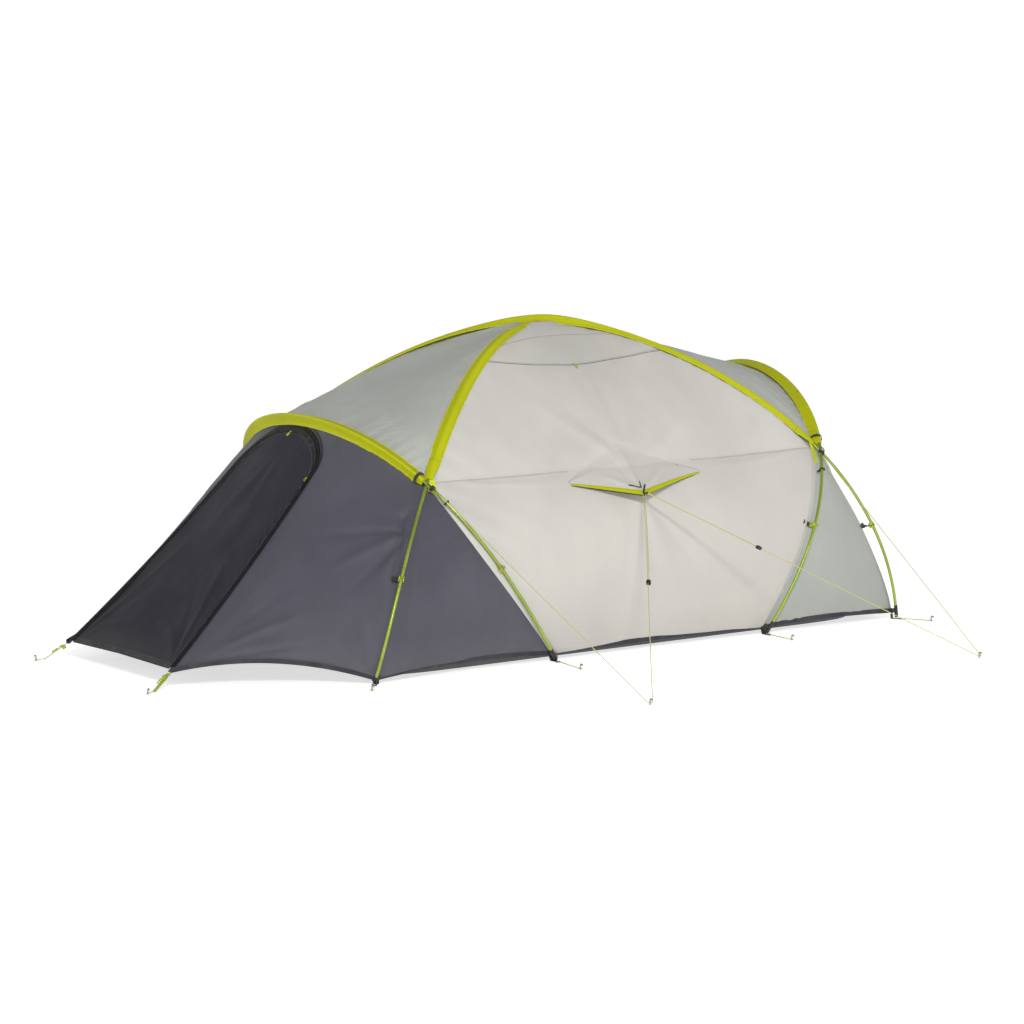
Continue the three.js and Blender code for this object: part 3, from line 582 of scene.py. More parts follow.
class Look:
    """One material's nodes, built round its Principled shader."""

    def __init__(self, name, roughness=0.6, metallic=0.0):
        self.material = bpy.data.materials.new(name)
        self.material.use_nodes = True
        self.tree = self.material.node_tree
        self.shader = self.tree.nodes["Principled BSDF"]
        self.shader.inputs["Roughness"].default_value = roughness
        self.shader.inputs["Metallic"].default_value = metallic
        coordinates = self.tree.nodes.new("ShaderNodeTexCoord")
        self.place = coordinates.outputs["Object"]
        uv = self.tree.nodes.new("ShaderNodeUVMap")
        uv.uv_map = "cloth"
        split = self.node("ShaderNodeSeparateXYZ", Vector=uv.outputs["UV"])
        self.across, self.along = split.outputs["X"], split.outputs["Y"]
        self.normal = None

    def node(self, kind, settings=None, **inputs):
        made = self.tree.nodes.new(kind)
        for key, value in (settings or {}).items():
            setattr(made, key, value)
        for key, value in inputs.items():
            self.feed(made.inputs[key], value)
        return made

    def feed(self, socket, value):
        if isinstance(value, bpy.types.NodeSocket):
            self.tree.links.new(value, socket)
        else:
            socket.default_value = value

    def noise(self, scale, detail=3, stretch=(1, 1, 1)):
        place = self.node("ShaderNodeVectorMath", {"operation": "MULTIPLY"})
        self.feed(place.inputs[0], self.place)
        self.feed(place.inputs[1], stretch)
        made = self.node("ShaderNodeTexNoise", Vector=place.outputs[0], Scale=scale, Detail=detail)
        return made.outputs["Fac"]

    def math(self, operation, a, b=0.0):
        made = self.node("ShaderNodeMath", {"operation": operation})
        self.feed(made.inputs[0], a)
        self.feed(made.inputs[1], b)
        return made.outputs[0]

    def spread(self, value, low, high, to_low=0.0, to_high=1.0):
        """Maps a value from low..high to to_low..to_high, clamped."""
        made = self.node("ShaderNodeMapRange")
        for index, number in enumerate((value, low, high, to_low, to_high)):
            self.feed(made.inputs[index], number)
        return made.outputs[0]

    def uneven(self, scale, detail, to_low, to_high):
        """A value that drifts between two over the surface."""
        return self.spread(self.noise(scale, detail), 0.3, 0.7, to_low, to_high)

    def mix(self, amount, a, b):
        made = self.node("ShaderNodeMix", {"data_type": "RGBA"})
        self.feed(made.inputs[0], amount)
        self.feed(made.inputs[6], a)
        self.feed(made.inputs[7], b)
        return made.outputs[2]

    def lines(self, value, period, width):
        """1 on lines of the given width, a period apart, and 0 between them."""
        away = self.math("PINGPONG", value, period / 2)
        return self.math("LESS_THAN", away, width / 2)

    def waves(self, value, period):
        return self.math("SINE", self.math("MULTIPLY", value, math.tau / period))

    def slants(self):
        """Distances that grow along the two diagonals."""
        return [self.math(kind, self.across, self.along) for kind in ("ADD", "SUBTRACT")]

    def bump(self, height, distance, strength=1.0):
        made = self.node("ShaderNodeBump", Height=height, Distance=distance, Strength=strength)
        if self.normal is not None:
            self.feed(made.inputs["Normal"], self.normal)
        self.normal = made.outputs["Normal"]

    def finish(self, base, roughness=None):
        self.feed(self.shader.inputs["Base Color"], base)
        if roughness is not None:
            self.feed(self.shader.inputs["Roughness"], roughness)
        if self.normal is not None:
            self.feed(self.shader.inputs["Normal"], self.normal)
        return self.material


RIPSTOP = 0.006  # from one thicker thread of the cloth to the next


def cloth_look(name, base, shade, roughness=0.5, sheen=0.04):
    """Coated ripstop: a fine grid of thicker threads, uneven dye, dust near the ground, and painted shade
    that darkens the cloth towards the ground.
    """
    look = Look(name, roughness)
    ways = (look.across, look.along)
    threads = look.math("MAXIMUM", *(look.lines(way, RIPSTOP, 0.0007) for way in ways))
    weave = look.math("MULTIPLY", *(look.waves(way, 0.0009) for way in ways))
    clouds = look.noise(2.2, 4)
    streaks = look.noise(9, 5, (1, 1, 0.25))
    tone = look.mix(look.spread(clouds, 0.35, 0.65), colour(*base), colour(*shade))
    tone = look.mix(look.spread(streaks, 0.45, 0.75, 0, 0.4), tone, dimmed(shade, 0.93))
    tone = look.mix(look.math("MULTIPLY", threads, 0.5), tone, dimmed(base, 1.08))
    height = look.node("ShaderNodeSeparateXYZ", Vector=look.place).outputs["Z"]
    # painted shade: over the lowest 0.65 m the cloth darkens towards 45 % of its shade colour, by up to 42 %
    # at the ground
    tone = look.mix(look.spread(height, 0.0, 0.65, 0.42, 0), tone, dimmed(shade, 0.45))
    dust = look.math("MULTIPLY", look.spread(height, 0.0, 0.16, 0.25, 0), look.noise(24, 5))
    tone = look.mix(dust, tone, colour(140, 133, 120))
    look.bump(threads, 0.00015)
    look.bump(weave, 0.00005)
    look.bump(look.noise(16, 6), 0.0022, 0.35)
    look.bump(look.noise(70, 3), 0.0004, 0.3)
    look.shader.inputs["Specular IOR Level"].default_value = 0.22
    look.shader.inputs["Sheen Weight"].default_value = sheen
    look.shader.inputs["Sheen Roughness"].default_value = 0.5
    return look.finish(tone, look.uneven(6, 3, roughness - 0.06, roughness + 0.08))


def webbing_look(name, base, shade):
    """Woven tape: ribs across, finer threads along, and uneven darker patches."""
    look = Look(name, 0.75)
    ribs = look.waves(look.along, 0.0021)
    threads = look.waves(look.across, 0.0016)
    pattern = look.math("MULTIPLY", ribs, threads)
    tone = look.mix(look.spread(pattern, -1, 1), colour(*shade), colour(*base))
    tone = look.mix(look.spread(look.noise(90, 4), 0.5, 0.8, 0, 0.35), tone, colour(*shade))
    look.bump(pattern, 0.0003)
    look.bump(look.noise(220, 3), 0.0003, 0.4)
    look.shader.inputs["Sheen Weight"].default_value = 0.2
    return look.finish(tone)


def tape_look(name, stitches_at, base, shade, thread_colour):
    """Coated tape with a row of stitches that far from its middle on both sides."""
    look = Look(name, 0.6)
    stitch = look.lines(look.along, 0.0042, 0.0028)
    off = look.math("SUBTRACT", look.math("ABSOLUTE", look.across), stitches_at)
    row = look.math("LESS_THAN", look.math("ABSOLUTE", off), 0.0006)
    thread_and_shadow_line = look.math("MULTIPLY", stitch, row)
    tone = look.mix(look.spread(look.noise(14, 5), 0.35, 0.7), colour(*base), colour(*shade))
    tone = look.mix(look.math("MULTIPLY", thread_and_shadow_line, 0.7), tone, colour(*thread_colour))
    look.bump(thread_and_shadow_line, 0.0004)
    look.bump(look.waves(look.along, 0.0016), 0.0001)
    look.bump(look.noise(60, 4), 0.0006, 0.5)
    return look.finish(tone, look.uneven(30, 3, 0.5, 0.72))


def zip_look():
    """The dull black of the zip's teeth and tape, greyed where it rubs."""
    look = Look("zip", 0.5)
    tone = look.mix(look.spread(look.noise(40, 4), 0.4, 0.75), colour(13, 13, 16), colour(27, 27, 31))
    look.shader.inputs["Specular IOR Level"].default_value = 0.25
    look.bump(look.waves(look.across, 0.0014), 0.0001)
    look.bump(look.noise(160, 3), 0.0002, 0.5)
    return look.finish(tone, look.uneven(50, 3, 0.42, 0.66))


def pole_look():
    """Anodised tube: a scuffed and slightly uneven coat."""
    look = Look("pole", 0.36, 0.5)
    scuffs = look.spread(look.noise(180, 5), 0.56, 0.72)
    clouds = look.spread(look.noise(7, 3), 0.35, 0.65)
    tone = look.mix(clouds, colour(128, 148, 40), colour(148, 168, 56))
    tone = look.mix(look.math("MULTIPLY", scuffs, 0.35), tone, colour(206, 212, 190))
    look.bump(look.noise(420, 4), 0.00012, 0.5)
    return look.finish(tone, look.uneven(90, 4, 0.27, 0.46))


def metal_look(name, base, roughness=0.32):
    look = Look(name, roughness, 0.9)
    scuffs = look.spread(look.noise(240, 5), 0.5, 0.75)
    tone = look.mix(scuffs, colour(*base), dimmed(base, 0.7))
    look.bump(look.noise(500, 4), 0.0001, 0.5)
    return look.finish(tone, look.uneven(130, 4, roughness - 0.07, roughness + 0.15))


def plastic_look(name, base, shade):
    """Moulded nylon with a fine spark texture and an unevenly mottled tone."""
    look = Look(name, 0.45)
    tone = look.mix(look.spread(look.noise(60, 4), 0.35, 0.7), colour(*base), colour(*shade))
    look.bump(look.noise(900, 2), 0.0001, 0.6)
    look.bump(look.noise(120, 3), 0.0002, 0.4)
    return look.finish(tone, look.uneven(200, 3, 0.36, 0.56))


def cord_look():
    """Braided cord: two sets of strands winding opposite ways."""
    look = Look("cord", 0.7)
    braid = look.math("MULTIPLY", *(look.waves(slant, 0.0022) for slant in look.slants()))
    tone = look.mix(look.spread(braid, -1, 1), colour(172, 178, 92), colour(208, 212, 138))
    look.bump(braid, 0.00025)
    look.shader.inputs["Sheen Weight"].default_value = 0.2
    return look.finish(tone)


def mesh_look():
    """Fine netting: dark, with its small diamond holes as bump and shade."""
    look = Look("netting", 0.8)
    net = look.math("MAXIMUM", *(look.lines(slant, 0.0014, 0.0006) for slant in look.slants()))
    look.bump(net, 0.0003)
    return look.finish(look.mix(net, colour(12, 12, 13), colour(50, 50, 54)))


MATERIALS = {
    "canopy": cloth_look("canopy", (202, 199, 192), (194, 191, 185)),
    # painted shade: the canopy's cloth again, darker and greyer, for the roof panels, the rear corners and
    # the rear wall, which lie in less light
    "roof": cloth_look("roof", (182, 184, 177), (168, 172, 165)),
    "vestibule": cloth_look("vestibule", (88, 87, 97), (76, 75, 85), sheen=0),
    "door": cloth_look("door", (44, 43, 53), (37, 36, 45), roughness=0.6, sheen=0),
    "sleeve": cloth_look("sleeve", (184, 188, 8), (172, 177, 6), roughness=0.65, sheen=0),
    "piping": cloth_look("piping", (206, 212, 70), (192, 199, 52), roughness=0.6),
    "floor": cloth_look("floor_cloth", (112, 114, 118), (98, 100, 104), roughness=0.45),
    "inner": cloth_look("inner", (222, 219, 208), (212, 209, 199), roughness=0.8, sheen=0.2),
    "seam": tape_look("seam", 0.0022, (190, 188, 182), (181, 179, 173), (160, 158, 153)),
    "tape": tape_look("tape", 0.0080, (30, 30, 36), (48, 48, 55), (92, 92, 99)),
    "zip": zip_look(),
    "netting": mesh_look(),
    "webbing": webbing_look("webbing", (188, 198, 44), (140, 150, 28)),
    "strap": webbing_look("strap", (38, 38, 42), (20, 20, 23)),
    "pole": pole_look(),
    "ferrule": metal_look("ferrule", (190, 194, 186)),
    "peg": metal_look("peg", (168, 170, 172)),
    "slider": metal_look("slider", (150, 165, 50), 0.4),
    "plastic": plastic_look("plastic", (170, 186, 40), (150, 166, 34)),
    "black": plastic_look("black", (20, 20, 22), (32, 32, 35)),
    "cord": cord_look(),
}


# ------------------------------------------------------------------ cloth on the curves
def on_side(flip):
    """A function for a spot at a, b of a left half, or for its place on the right half."""
    return lambda a, b: (1 - a, b) if flip else (a, b)


def both_halves(left):
    """A left half's columns and their mirror images, which share the middle one, as a cloth."""
    grid = np.concatenate([left, mirrored(left[:, :-1])[:, ::-1]], axis=1)
    rows, columns = grid.shape[:2]
    return Cloth(grid, *np.meshgrid(np.linspace(0, 1, columns), np.linspace(0, 1, rows)))


class Cloth:
    """A sheet of points, how far each lies across and down it, and the height of its folds."""

    def __init__(self, grid, u, v):
        self.grid, self.u, self.v = grid, u, v
        self.across, self.down = lengths(grid)
        self.height = np.zeros(u.shape)

    def spot(self, u, v):
        """How far across and down the cloth the point nearest to u, v lies."""
        away = (self.u - u) ** 2 + (self.v - v) ** 2
        nearest = np.unravel_index(np.argmin(away), away.shape)
        return np.array([self.across[nearest], self.down[nearest]])

    def fold(self, start, end, width, height):
        """A rounded fold from one u, v to another, widening on its way and fading at both ends."""
        a, b = self.spot(*start), self.spot(*end)
        run = b - a
        x, y = self.across - a[0], self.down - a[1]
        t = (x * run[0] + y * run[1]) / (run @ run)
        off = (x * run[1] - y * run[0]) / np.linalg.norm(run)
        fade = smooth(0, 0.18, t) * smooth(1, 0.45, t)
        self.height += height * fade * np.exp(-(off / (width * (0.7 + 0.8 * np.clip(t, 0, 1)))) ** 2)

    def fan(self, start, ends, width, height):
        """Folds that spread from one spot, ridges and hollows by turns."""
        for k, end in enumerate(ends):
            self.fold(start, end, width * (1 - 0.25 * (k % 2)), height * (-0.6 if k % 2 else 1))

    def ripples(self, seed, size, height):
        """Uneven slack: long waves of about that size in random directions."""
        random = np.random.default_rng(seed)
        total = 0
        for _ in range(7):
            angle, phase = random.uniform(0, math.tau, 2)
            k = math.tau / (size * random.uniform(0.7, 1.5))
            total = total + np.sin(k * (math.cos(angle) * self.across + math.sin(angle) * self.down) + phase)
        self.height += height * total / 4

    def edges(self):
        """How far each point is from the left, right, top and bottom edges, and how far along them."""
        return {
            "l": (self.across - self.across[:, :1], self.down),
            "r": (self.across[:, -1:] - self.across, self.down),
            "t": (self.down - self.down[:1], self.across),
            "b": (self.down[-1:] - self.down, self.across),
        }

    def pucker(self, period, reach, height, seed, sides="lrtb"):
        """Short gathers that leave the sewn edges and die away inside the cloth."""
        for k, edge in enumerate(sides):
            away, along = self.edges()[edge]
            phase = seed + 1.7 * k
            wave = np.sin(math.tau * along / period + 2.2 * np.sin(7.3 * along + phase) + phase)
            uneven = 0.55 + 0.45 * np.sin(3.7 * along + 1.9 * phase)
            self.height += height * uneven * wave * np.exp(-away / reach) * smooth(0, 0.25 * reach, away)

    def drag(self, spot, reach, period, height, lean):
        """Fine parallel drag lines round a spot, leaning by an angle from straight across."""
        centre = self.spot(*spot)
        x, y = self.across - centre[0], self.down - centre[1]
        off = x * math.sin(lean) + y * math.cos(lean)
        run = x * math.cos(lean) - y * math.sin(lean)
        wave = np.sin(math.tau * off / period + 1.3 * np.sin(9 * run) + 0.8 * np.sin(31 * off))
        self.height += height * wave * np.exp(-((off / reach) ** 2) - (run / (0.62 * reach)) ** 2)

    def swell(self, height):
        """Fullness of the cloth beside the sleeves, which the poles draw out."""
        for edge in "lr":
            away = self.edges()[edge][0]
            self.height += height * smooth(0, 0.02, away) * np.exp(-((away / 0.16) ** 2))

    def ridge(self, row, width, height):
        """The raised felled band of a seam that runs along one row."""
        off = self.down - self.down[np.argmin(np.abs(self.v[:, 0] - row))][None, :]
        self.height += height * smooth(width / 2, width / 2 - 0.003, np.abs(off))

    def settle(self, outside, reach=0.02):
        """Moves the cloth out by its folds, which stop short of its sewn edges."""
        edge = np.minimum.reduce([away for away, _ in self.edges().values()])
        self.grid = self.grid + normals_of(self.grid) * outside * tall(self.height * smooth(0, reach, edge))
        self.normals = normals_of(self.grid) * outside
        return self

    def on(self, u, v, lift=0.0):
        """Points of the settled cloth at u, v, lifted off it, and its outward directions there."""
        rows, columns = self.u.shape
        i = np.clip((np.asarray(u) - self.u[0, 0]) / (self.u[0, -1] - self.u[0, 0]), 0, 1) * (columns - 1)
        j = np.clip((np.asarray(v) - self.v[0, 0]) / (self.v[-1, 0] - self.v[0, 0]), 0, 1) * (rows - 1)
        a, b = np.minimum(i.astype(int), columns - 2), np.minimum(j.astype(int), rows - 2)
        s, t = tall(i - a), tall(j - b)

        def blend(values):
            top = lerp(values[b, a], values[b, a + 1], s)
            return lerp(top, lerp(values[b + 1, a], values[b + 1, a + 1], s), t)

        normal = unit(blend(self.normals))
        return blend(self.grid) + normal * lift, normal


def laid(surface, columns, rows, across=(0, 1), down=(0, 1)):
    """A cloth laid evenly over part of a surface."""
    u, v = np.meshgrid(np.linspace(*across, columns), np.linspace(*down, rows))
    return Cloth(surface(u, v), u, v)


def turned(grid, sign):
    """A left-side grid, or its mirror image with its columns reversed so that it faces the same way."""
    return grid if sign > 0 else mirrored(grid)[:, ::-1]


def add_band(name, points, normals, width, lift, material, slot, sign=1, crown=0.0005):
    """A narrow strip along a path, slightly crowned, lying off the cloth by the lift."""
    across, ups = frames(points, normals)
    offsets = np.linspace(-0.5, 0.5, 5)
    raised = lift + crown * (1 - (2 * offsets) ** 2)
    reach = np.broadcast_to(width, len(points))[:, None] * offsets
    grid = points[:, None] + across[:, None] * tall(reach) + ups[:, None] * tall(raised)
    return add_sheet(name, turned(grid, sign), material, slot, thickness=BAND_T)


# ------------------------------------------------------------------ fly
def side_cloth():
    """One side panel: drawn up to the hood, slack around it, with gathers along its sleeves."""
    cloth = laid(side, 150, 170)
    drawn = np.exp(-((cloth.u - HOOD_PEAK) / 0.10) ** 2 - ((cloth.v - KNEE + 0.03) / 0.06) ** 2)
    cloth.height += 0.014 * drawn
    above, below = (HOOD_PEAK + 0.02, KNEE + 0.012), (HOOD_PEAK + 0.01, KNEE + 0.05)
    rays = ((0.2, 0.9), (0.3, 0.97), (0.38, 0.95), (0.5, 0.97), (0.6, 0.95), (0.74, 0.93))
    cloth.fan(above, ((0.36, 0.16), (0.45, 0.2), (0.53, 0.12), (0.62, 0.2), (0.72, 0.24)), 0.034, 0.004)
    cloth.fan(above, ((0.2, 0.34), (0.27, 0.3), (0.84, 0.42)), 0.028, 0.003)
    cloth.fan(below, rays, 0.026, 0.004)
    cloth.fold((0.04, KNEE), (0.40, KNEE + 0.014), 0.014, 0.002)
    cloth.fold((0.97, KNEE), (0.66, KNEE + 0.014), 0.014, 0.002)
    cloth.ripples(3, 0.55, 0.004)
    cloth.drag((HOOD_PEAK + 0.09, KNEE + 0.03), 0.11, 0.015, 0.0012, -0.9)
    cloth.ripples(8, 0.17, 0.0008)
    cloth.pucker(0.045, 0.05, 0.0014, 1, "lr")
    cloth.pucker(0.12, 0.11, 0.0018, 5, "lr")
    cloth.swell(0.013)
    cloth.ridge(KNEE, 0.014, 0.0008)
    return cloth.settle(-1)


def apex_seam(u):
    """The seam of the panel below the apex, a shallow arch."""
    return 0.135 + 0.05 * (2 * u - 1) ** 2


def top_seam(u):
    """The side's upper seam, all but level, drawn down a little at the pull in its middle."""
    return 0.24 + 0.035 * u + 0.03 * (1 - np.abs(2 * u - 1))


def add_side(name, sign, cloth):
    """A side panel with its seams taped, a thin dark line painted as the shadow under the upper one, and a
    pull at the middle of the upper one.
    """
    made = add_sheet(f"cloth_side_{name}", turned(cloth.grid, sign), "canopy", "canopy", outside=-1)
    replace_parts(made, f"fly_side_{name}")
    runs = {
        "apex": (0.004, 0.996, apex_seam),
        "top": (0.004, 0.996, top_seam),
        "knee_front": (0.004, HOOD_LEFT + 0.01, lambda u: KNEE),
        "knee_rear": (HOOD_RIGHT - 0.01, 0.996, lambda u: KNEE),
    }
    for label, (start, end, row) in runs.items():
        u = np.linspace(start, end, 110)
        points, normals = cloth.on(u, row(u))
        add_band(f"seam_{label}_{name}", points, normals, 0.007, 0.0004, "seam", "tape", sign)
    # painted shadow: a thin dark cord just below the upper seam stands for the seam's shadow line
    u = np.linspace(0.01, 0.99, 90)
    thread_and_shadow_line = cloth.on(u, top_seam(u) + 0.004, 0.0006)[0]
    add_tube(f"seam_shade_{name}", thread_and_shadow_line, 0.0008, "tape", "tape", sign, 6)
    place, normal = cloth.on(0.5, top_seam(0.5))
    add_pull(f"side_{name}", place + normal * 0.004, (0.05, -0.92, -0.36), sign)


def add_roof(name, hoop_leg, main_leg, outside, material):
    """A roof panel from a hoop to the apex, pulled in gathers at its hoop."""
    cloth = laid(roof(hoop_leg, main_leg, 0.85), 150, 110)
    cloth.fan((0.02, 0.03), ((0.4, 0.5), (0.3, 0.7), (0.5, 0.3), (0.2, 0.9)), 0.022, 0.004)
    cloth.fan((0.98, 0.03), ((0.6, 0.5), (0.7, 0.7), (0.5, 0.34), (0.8, 0.9)), 0.022, 0.004)
    for u, lean in ((0.25, 1.0), (0.75, -1.0)):
        cloth.drag((u, 0.14), 0.2, 0.026, 0.0016, lean)
    cloth.ripples(12, 0.4, 0.003)
    cloth.ripples(14, 0.13, 0.0007)
    cloth.pucker(0.05, 0.07, 0.0025, 2)
    cloth.pucker(0.13, 0.16, 0.0035, 4, "t")
    cloth.swell(0.013)
    cloth.settle(outside)
    made = add_sheet(f"cloth_{name}", cloth.grid, material, "canopy", outside=outside)
    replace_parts(made, f"fly_{name}")


CORNER_CELLS, FLANK_CELLS, STRIP_CELLS, ARCH_CELLS = 22, 56, 3, 45
VESTIBULE_ABOVE, VESTIBULE_BELOW = 12, 84


def vestibule_half():
    """The left half of the vestibule's columns, each running down, and the door's first column."""
    half, foot = DOOR_HALF + DOOR_GAP, DOOR_FOOT - DOOR_GAP / 2

    def rows(top):
        above = top * np.arange(VESTIBULE_ABOVE) / VESTIBULE_ABOVE
        return np.concatenate([above, np.linspace(top, 1, VESTIBULE_BELOW + 1)])

    columns = [front_corner(np.full(1, u), rows(foot)) for u in np.arange(CORNER_CELLS) / CORNER_CELLS]
    columns += [flank(np.full(1, u), rows(foot)) for u in np.arange(FLANK_CELLS) / FLANK_CELLS]
    columns += [front(np.full(1, s), rows(foot)) for s in np.linspace(-1, -half, STRIP_CELLS + 1)[:-1]]
    for s in np.linspace(-math.pi / 2, 0, ARCH_CELLS + 1):
        place = half * math.sin(s)
        top = float(door_arch(place, half, DOOR_GAP / 2))
        columns.append(front(np.full(1, place), rows(top)))
    return columns


def add_vestibule():
    """The dark cloth round the door in one run, from one front hoop leg to the other."""
    cloth = both_halves(np.stack(vestibule_half(), axis=1))
    rows, columns = cloth.u.shape
    pole = CORNER_CELLS / (columns - 1)
    corner = (CORNER_CELLS + FLANK_CELLS) / (columns - 1)
    lower = ((0.75, 0.35), (0.55, 0.5), (0.4, 0.66), (0.2, 0.8))  # on the flank, from the pole to the crease
    upper = ((0.16, 0.5), (0.34, 0.62), (0.55, 0.55), (0.8, 0.4))
    for flip in (False, True):
        spot = on_side(flip)
        to_lower, to_upper = ([spot(lerp(pole, corner, t), b) for t, b in ends] for ends in (lower, upper))
        cloth.fan(spot(corner - 0.004, 0.985), to_lower, 0.016, 0.0075)
        cloth.fan(spot(pole + 0.003, 0.16), to_upper, 0.02, 0.0075)
        cloth.fan(spot(pole + 0.002, 0.97), [spot(pole + 0.05, 0.6), spot(pole + 0.08, 0.75)], 0.018, 0.006)
        cloth.fold(spot(pole + 0.006, 0.06), spot(pole + 0.012, 0.94), 0.014, -0.012)
        cloth.fold(spot(pole - 0.012, 0.1), spot(pole - 0.008, 0.9), 0.012, -0.006)
        cloth.fan(spot(0.004, 0.95), [spot(pole * 0.7, 0.5), spot(pole * 0.9, 0.7)], 0.014, 0.003)
        cloth.drag(spot(lerp(pole, corner, 0.55), 0.82), 0.24, 0.024, 0.0016, -0.3 if flip else 0.3)
    cloth.ripples(21, 0.38, 0.0025)
    cloth.ripples(22, 0.12, 0.0006)
    cloth.pucker(0.04, 0.05, 0.0018, 3, "tb")
    cloth.pucker(0.05, 0.04, 0.002, 6, "lr")
    door_from = CORNER_CELLS + FLANK_CELLS + STRIP_CELLS
    keep = np.ones((rows - 1, columns - 1), bool)
    keep[VESTIBULE_ABOVE:, door_from:columns - 1 - door_from] = False
    opening = smooth(0.10, 0.02, np.clip(np.abs(cloth.u - 0.5) - (0.5 - door_from / (columns - 1)), 0, None))
    cloth.height *= 1 - opening * (cloth.v > 0.05)
    cloth.settle(1)
    made = add_sheet("cloth_vestibule", cloth.grid, "vestibule", "vestibule", keep=keep)
    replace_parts(made, "fly_vestibule")


def add_door():
    """The door's own cloth, a little slack between its zips."""
    s, r = np.meshgrid(np.linspace(-math.pi / 2, math.pi / 2, 90), np.linspace(0, 1, 110))
    s = DOOR_HALF * np.sin(s)
    grid = front(s, lerp(door_arch(s, DOOR_HALF, 0), 0.99, r))
    cloth = Cloth(grid, (s / DOOR_HALF + 1) / 2, r)
    cloth.fan((0.02, 0.98), ((0.3, 0.4), (0.4, 0.6), (0.5, 0.8)), 0.022, 0.004)
    cloth.fan((0.98, 0.98), ((0.7, 0.4), (0.6, 0.6), (0.5, 0.84)), 0.022, 0.004)
    cloth.fan((0.5, 0.06), ((0.3, 0.5), (0.5, 0.55), (0.7, 0.5)), 0.03, 0.003)
    cloth.ripples(31, 0.3, 0.0025)
    cloth.pucker(0.045, 0.05, 0.0018, 7, "lrt")
    cloth.settle(1)
    made = add_sheet("cloth_door", cloth.grid, "door", "door", "door")
    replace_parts(made, "fly_door")
    points, normals = cloth.on(np.linspace(0.01, 0.99, 60), 0.985)
    hem = add_band("hem_door", points, normals, 0.022, 0.0006, "tape", "tape")
    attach(hem, "door")


def add_rear():
    """The rear corners and the rear wall in one run."""
    corner = laid(rear_corner, 31, 120)
    wall = laid(rear_wall, 71, 120)
    left = np.concatenate([corner.grid[:, :-1], wall.grid], axis=1)
    cloth = both_halves(left)
    pole = 30 / (cloth.u.shape[1] - 1)
    for flip in (False, True):
        spot = on_side(flip)
        cloth.fan(spot(pole, 0.97), [spot(0.3, 0.5), spot(0.38, 0.7), spot(0.24, 0.4)], 0.022, 0.004)
        cloth.fan(spot(0.004, 0.95), [spot(0.09, 0.5), spot(0.12, 0.72)], 0.016, 0.003)
        cloth.fan(spot(pole, 0.04), [spot(0.28, 0.5), spot(0.4, 0.4), spot(0.08, 0.5)], 0.022, 0.004)
    cloth.ripples(41, 0.4, 0.003)
    cloth.pucker(0.05, 0.06, 0.0022, 9)
    cloth.settle(-1)
    # the rear takes the darker roof copy of the canopy cloth: painted shade
    made = add_sheet("cloth_rear", cloth.grid, "roof", "canopy", outside=-1)
    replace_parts(made, "fly_rear")


# ------------------------------------------------------------------ sleeves and poles
def sleeve_section(depth, fullness, lift):
    """Half round over the pole, flat towards both sewn edges, and closed underneath."""
    x = np.linspace(1, -1, 17) * 0.0235
    crown = depth + 0.0092
    y = lift - depth - 0.003 * (x / 0.0235) ** 2 + (crown - lift) * np.exp(-(x / (0.0125 * fullness)) ** 2)
    under = np.stack([x[::-1][2:-2:3], np.full(5, lift - depth - 0.0062)], axis=-1)
    return np.concatenate([np.stack([x, y], axis=-1), under])


def add_sleeve(pole, side_legs, count=300):
    """A pole sleeve, gathered unevenly along its length, with piping sewn along both edges; on one edge of
    the rear hoop's sleeve the piping is black, a painted shadow line.
    """
    start = (CROSS[side_legs[0]] + 0.04) / 2
    end = 1 - (CROSS[side_legs[1]] + 0.04) / 2
    t = np.linspace(start, end, count)
    centres = pole_point(pole, t)
    depth = inset_at(pole, centres) + POLES[pole][2] * from_apex(centres)
    run = travelled(centres)
    fullness = 1 + 0.07 * np.sin(31 * run) * np.sin(53 * run + 1) + 0.03 * np.sin(190 * run)
    lift = SLEEVE_LIFT[kind(pole)]
    profile = np.stack([sleeve_section(d, f, lift) for d, f in zip(depth, fullness)])
    made = sweep(f"cloth_sleeve_{pole}", centres, outward(centres), profile, "sleeve", "sleeve")
    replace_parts(made, f"sleeve_{pole}")
    across, ups = frames(centres, outward(centres))
    for label, way in (("a", 1), ("b", -1)):
        line_at = centres + across * way * 0.0238 - ups * tall(depth - lift + 0.0026)
        # painted shadow: black piping on one edge of the rear hoop's sleeve stands for the shadow line beside
        # the sleeve
        material, slot = ("black", "strap") if pole == "hoop_rear" and way == 1 else ("piping", "sleeve")
        add_tube(f"piping_{pole}_{label}", line_at, 0.0015, material, slot, sides=8)


def add_pole(pole):
    """One pole: plugged sections, whose joints show as slightly thicker collars, and its two tips."""
    t = np.linspace(0, 1, 600)
    centres = pole_point(pole, t)
    run = travelled(centres)
    section = run[-1] / 11
    joint = np.abs((run + section / 2) % section - section / 2)
    radius = POLE_R + 0.0004 * smooth(0.024, 0.020, joint)
    made = add_tube(f"rod_{pole}", centres, radius, "pole", "pole", sides=16)
    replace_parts(made, f"pole_{pole}")
    for side_name, pick in (("left", slice(0, 7)), ("right", slice(-7, None))):
        add_tube(f"tip_{pole}_{side_name}", centres[pick], 0.0068, "black", "plastic", sides=14)


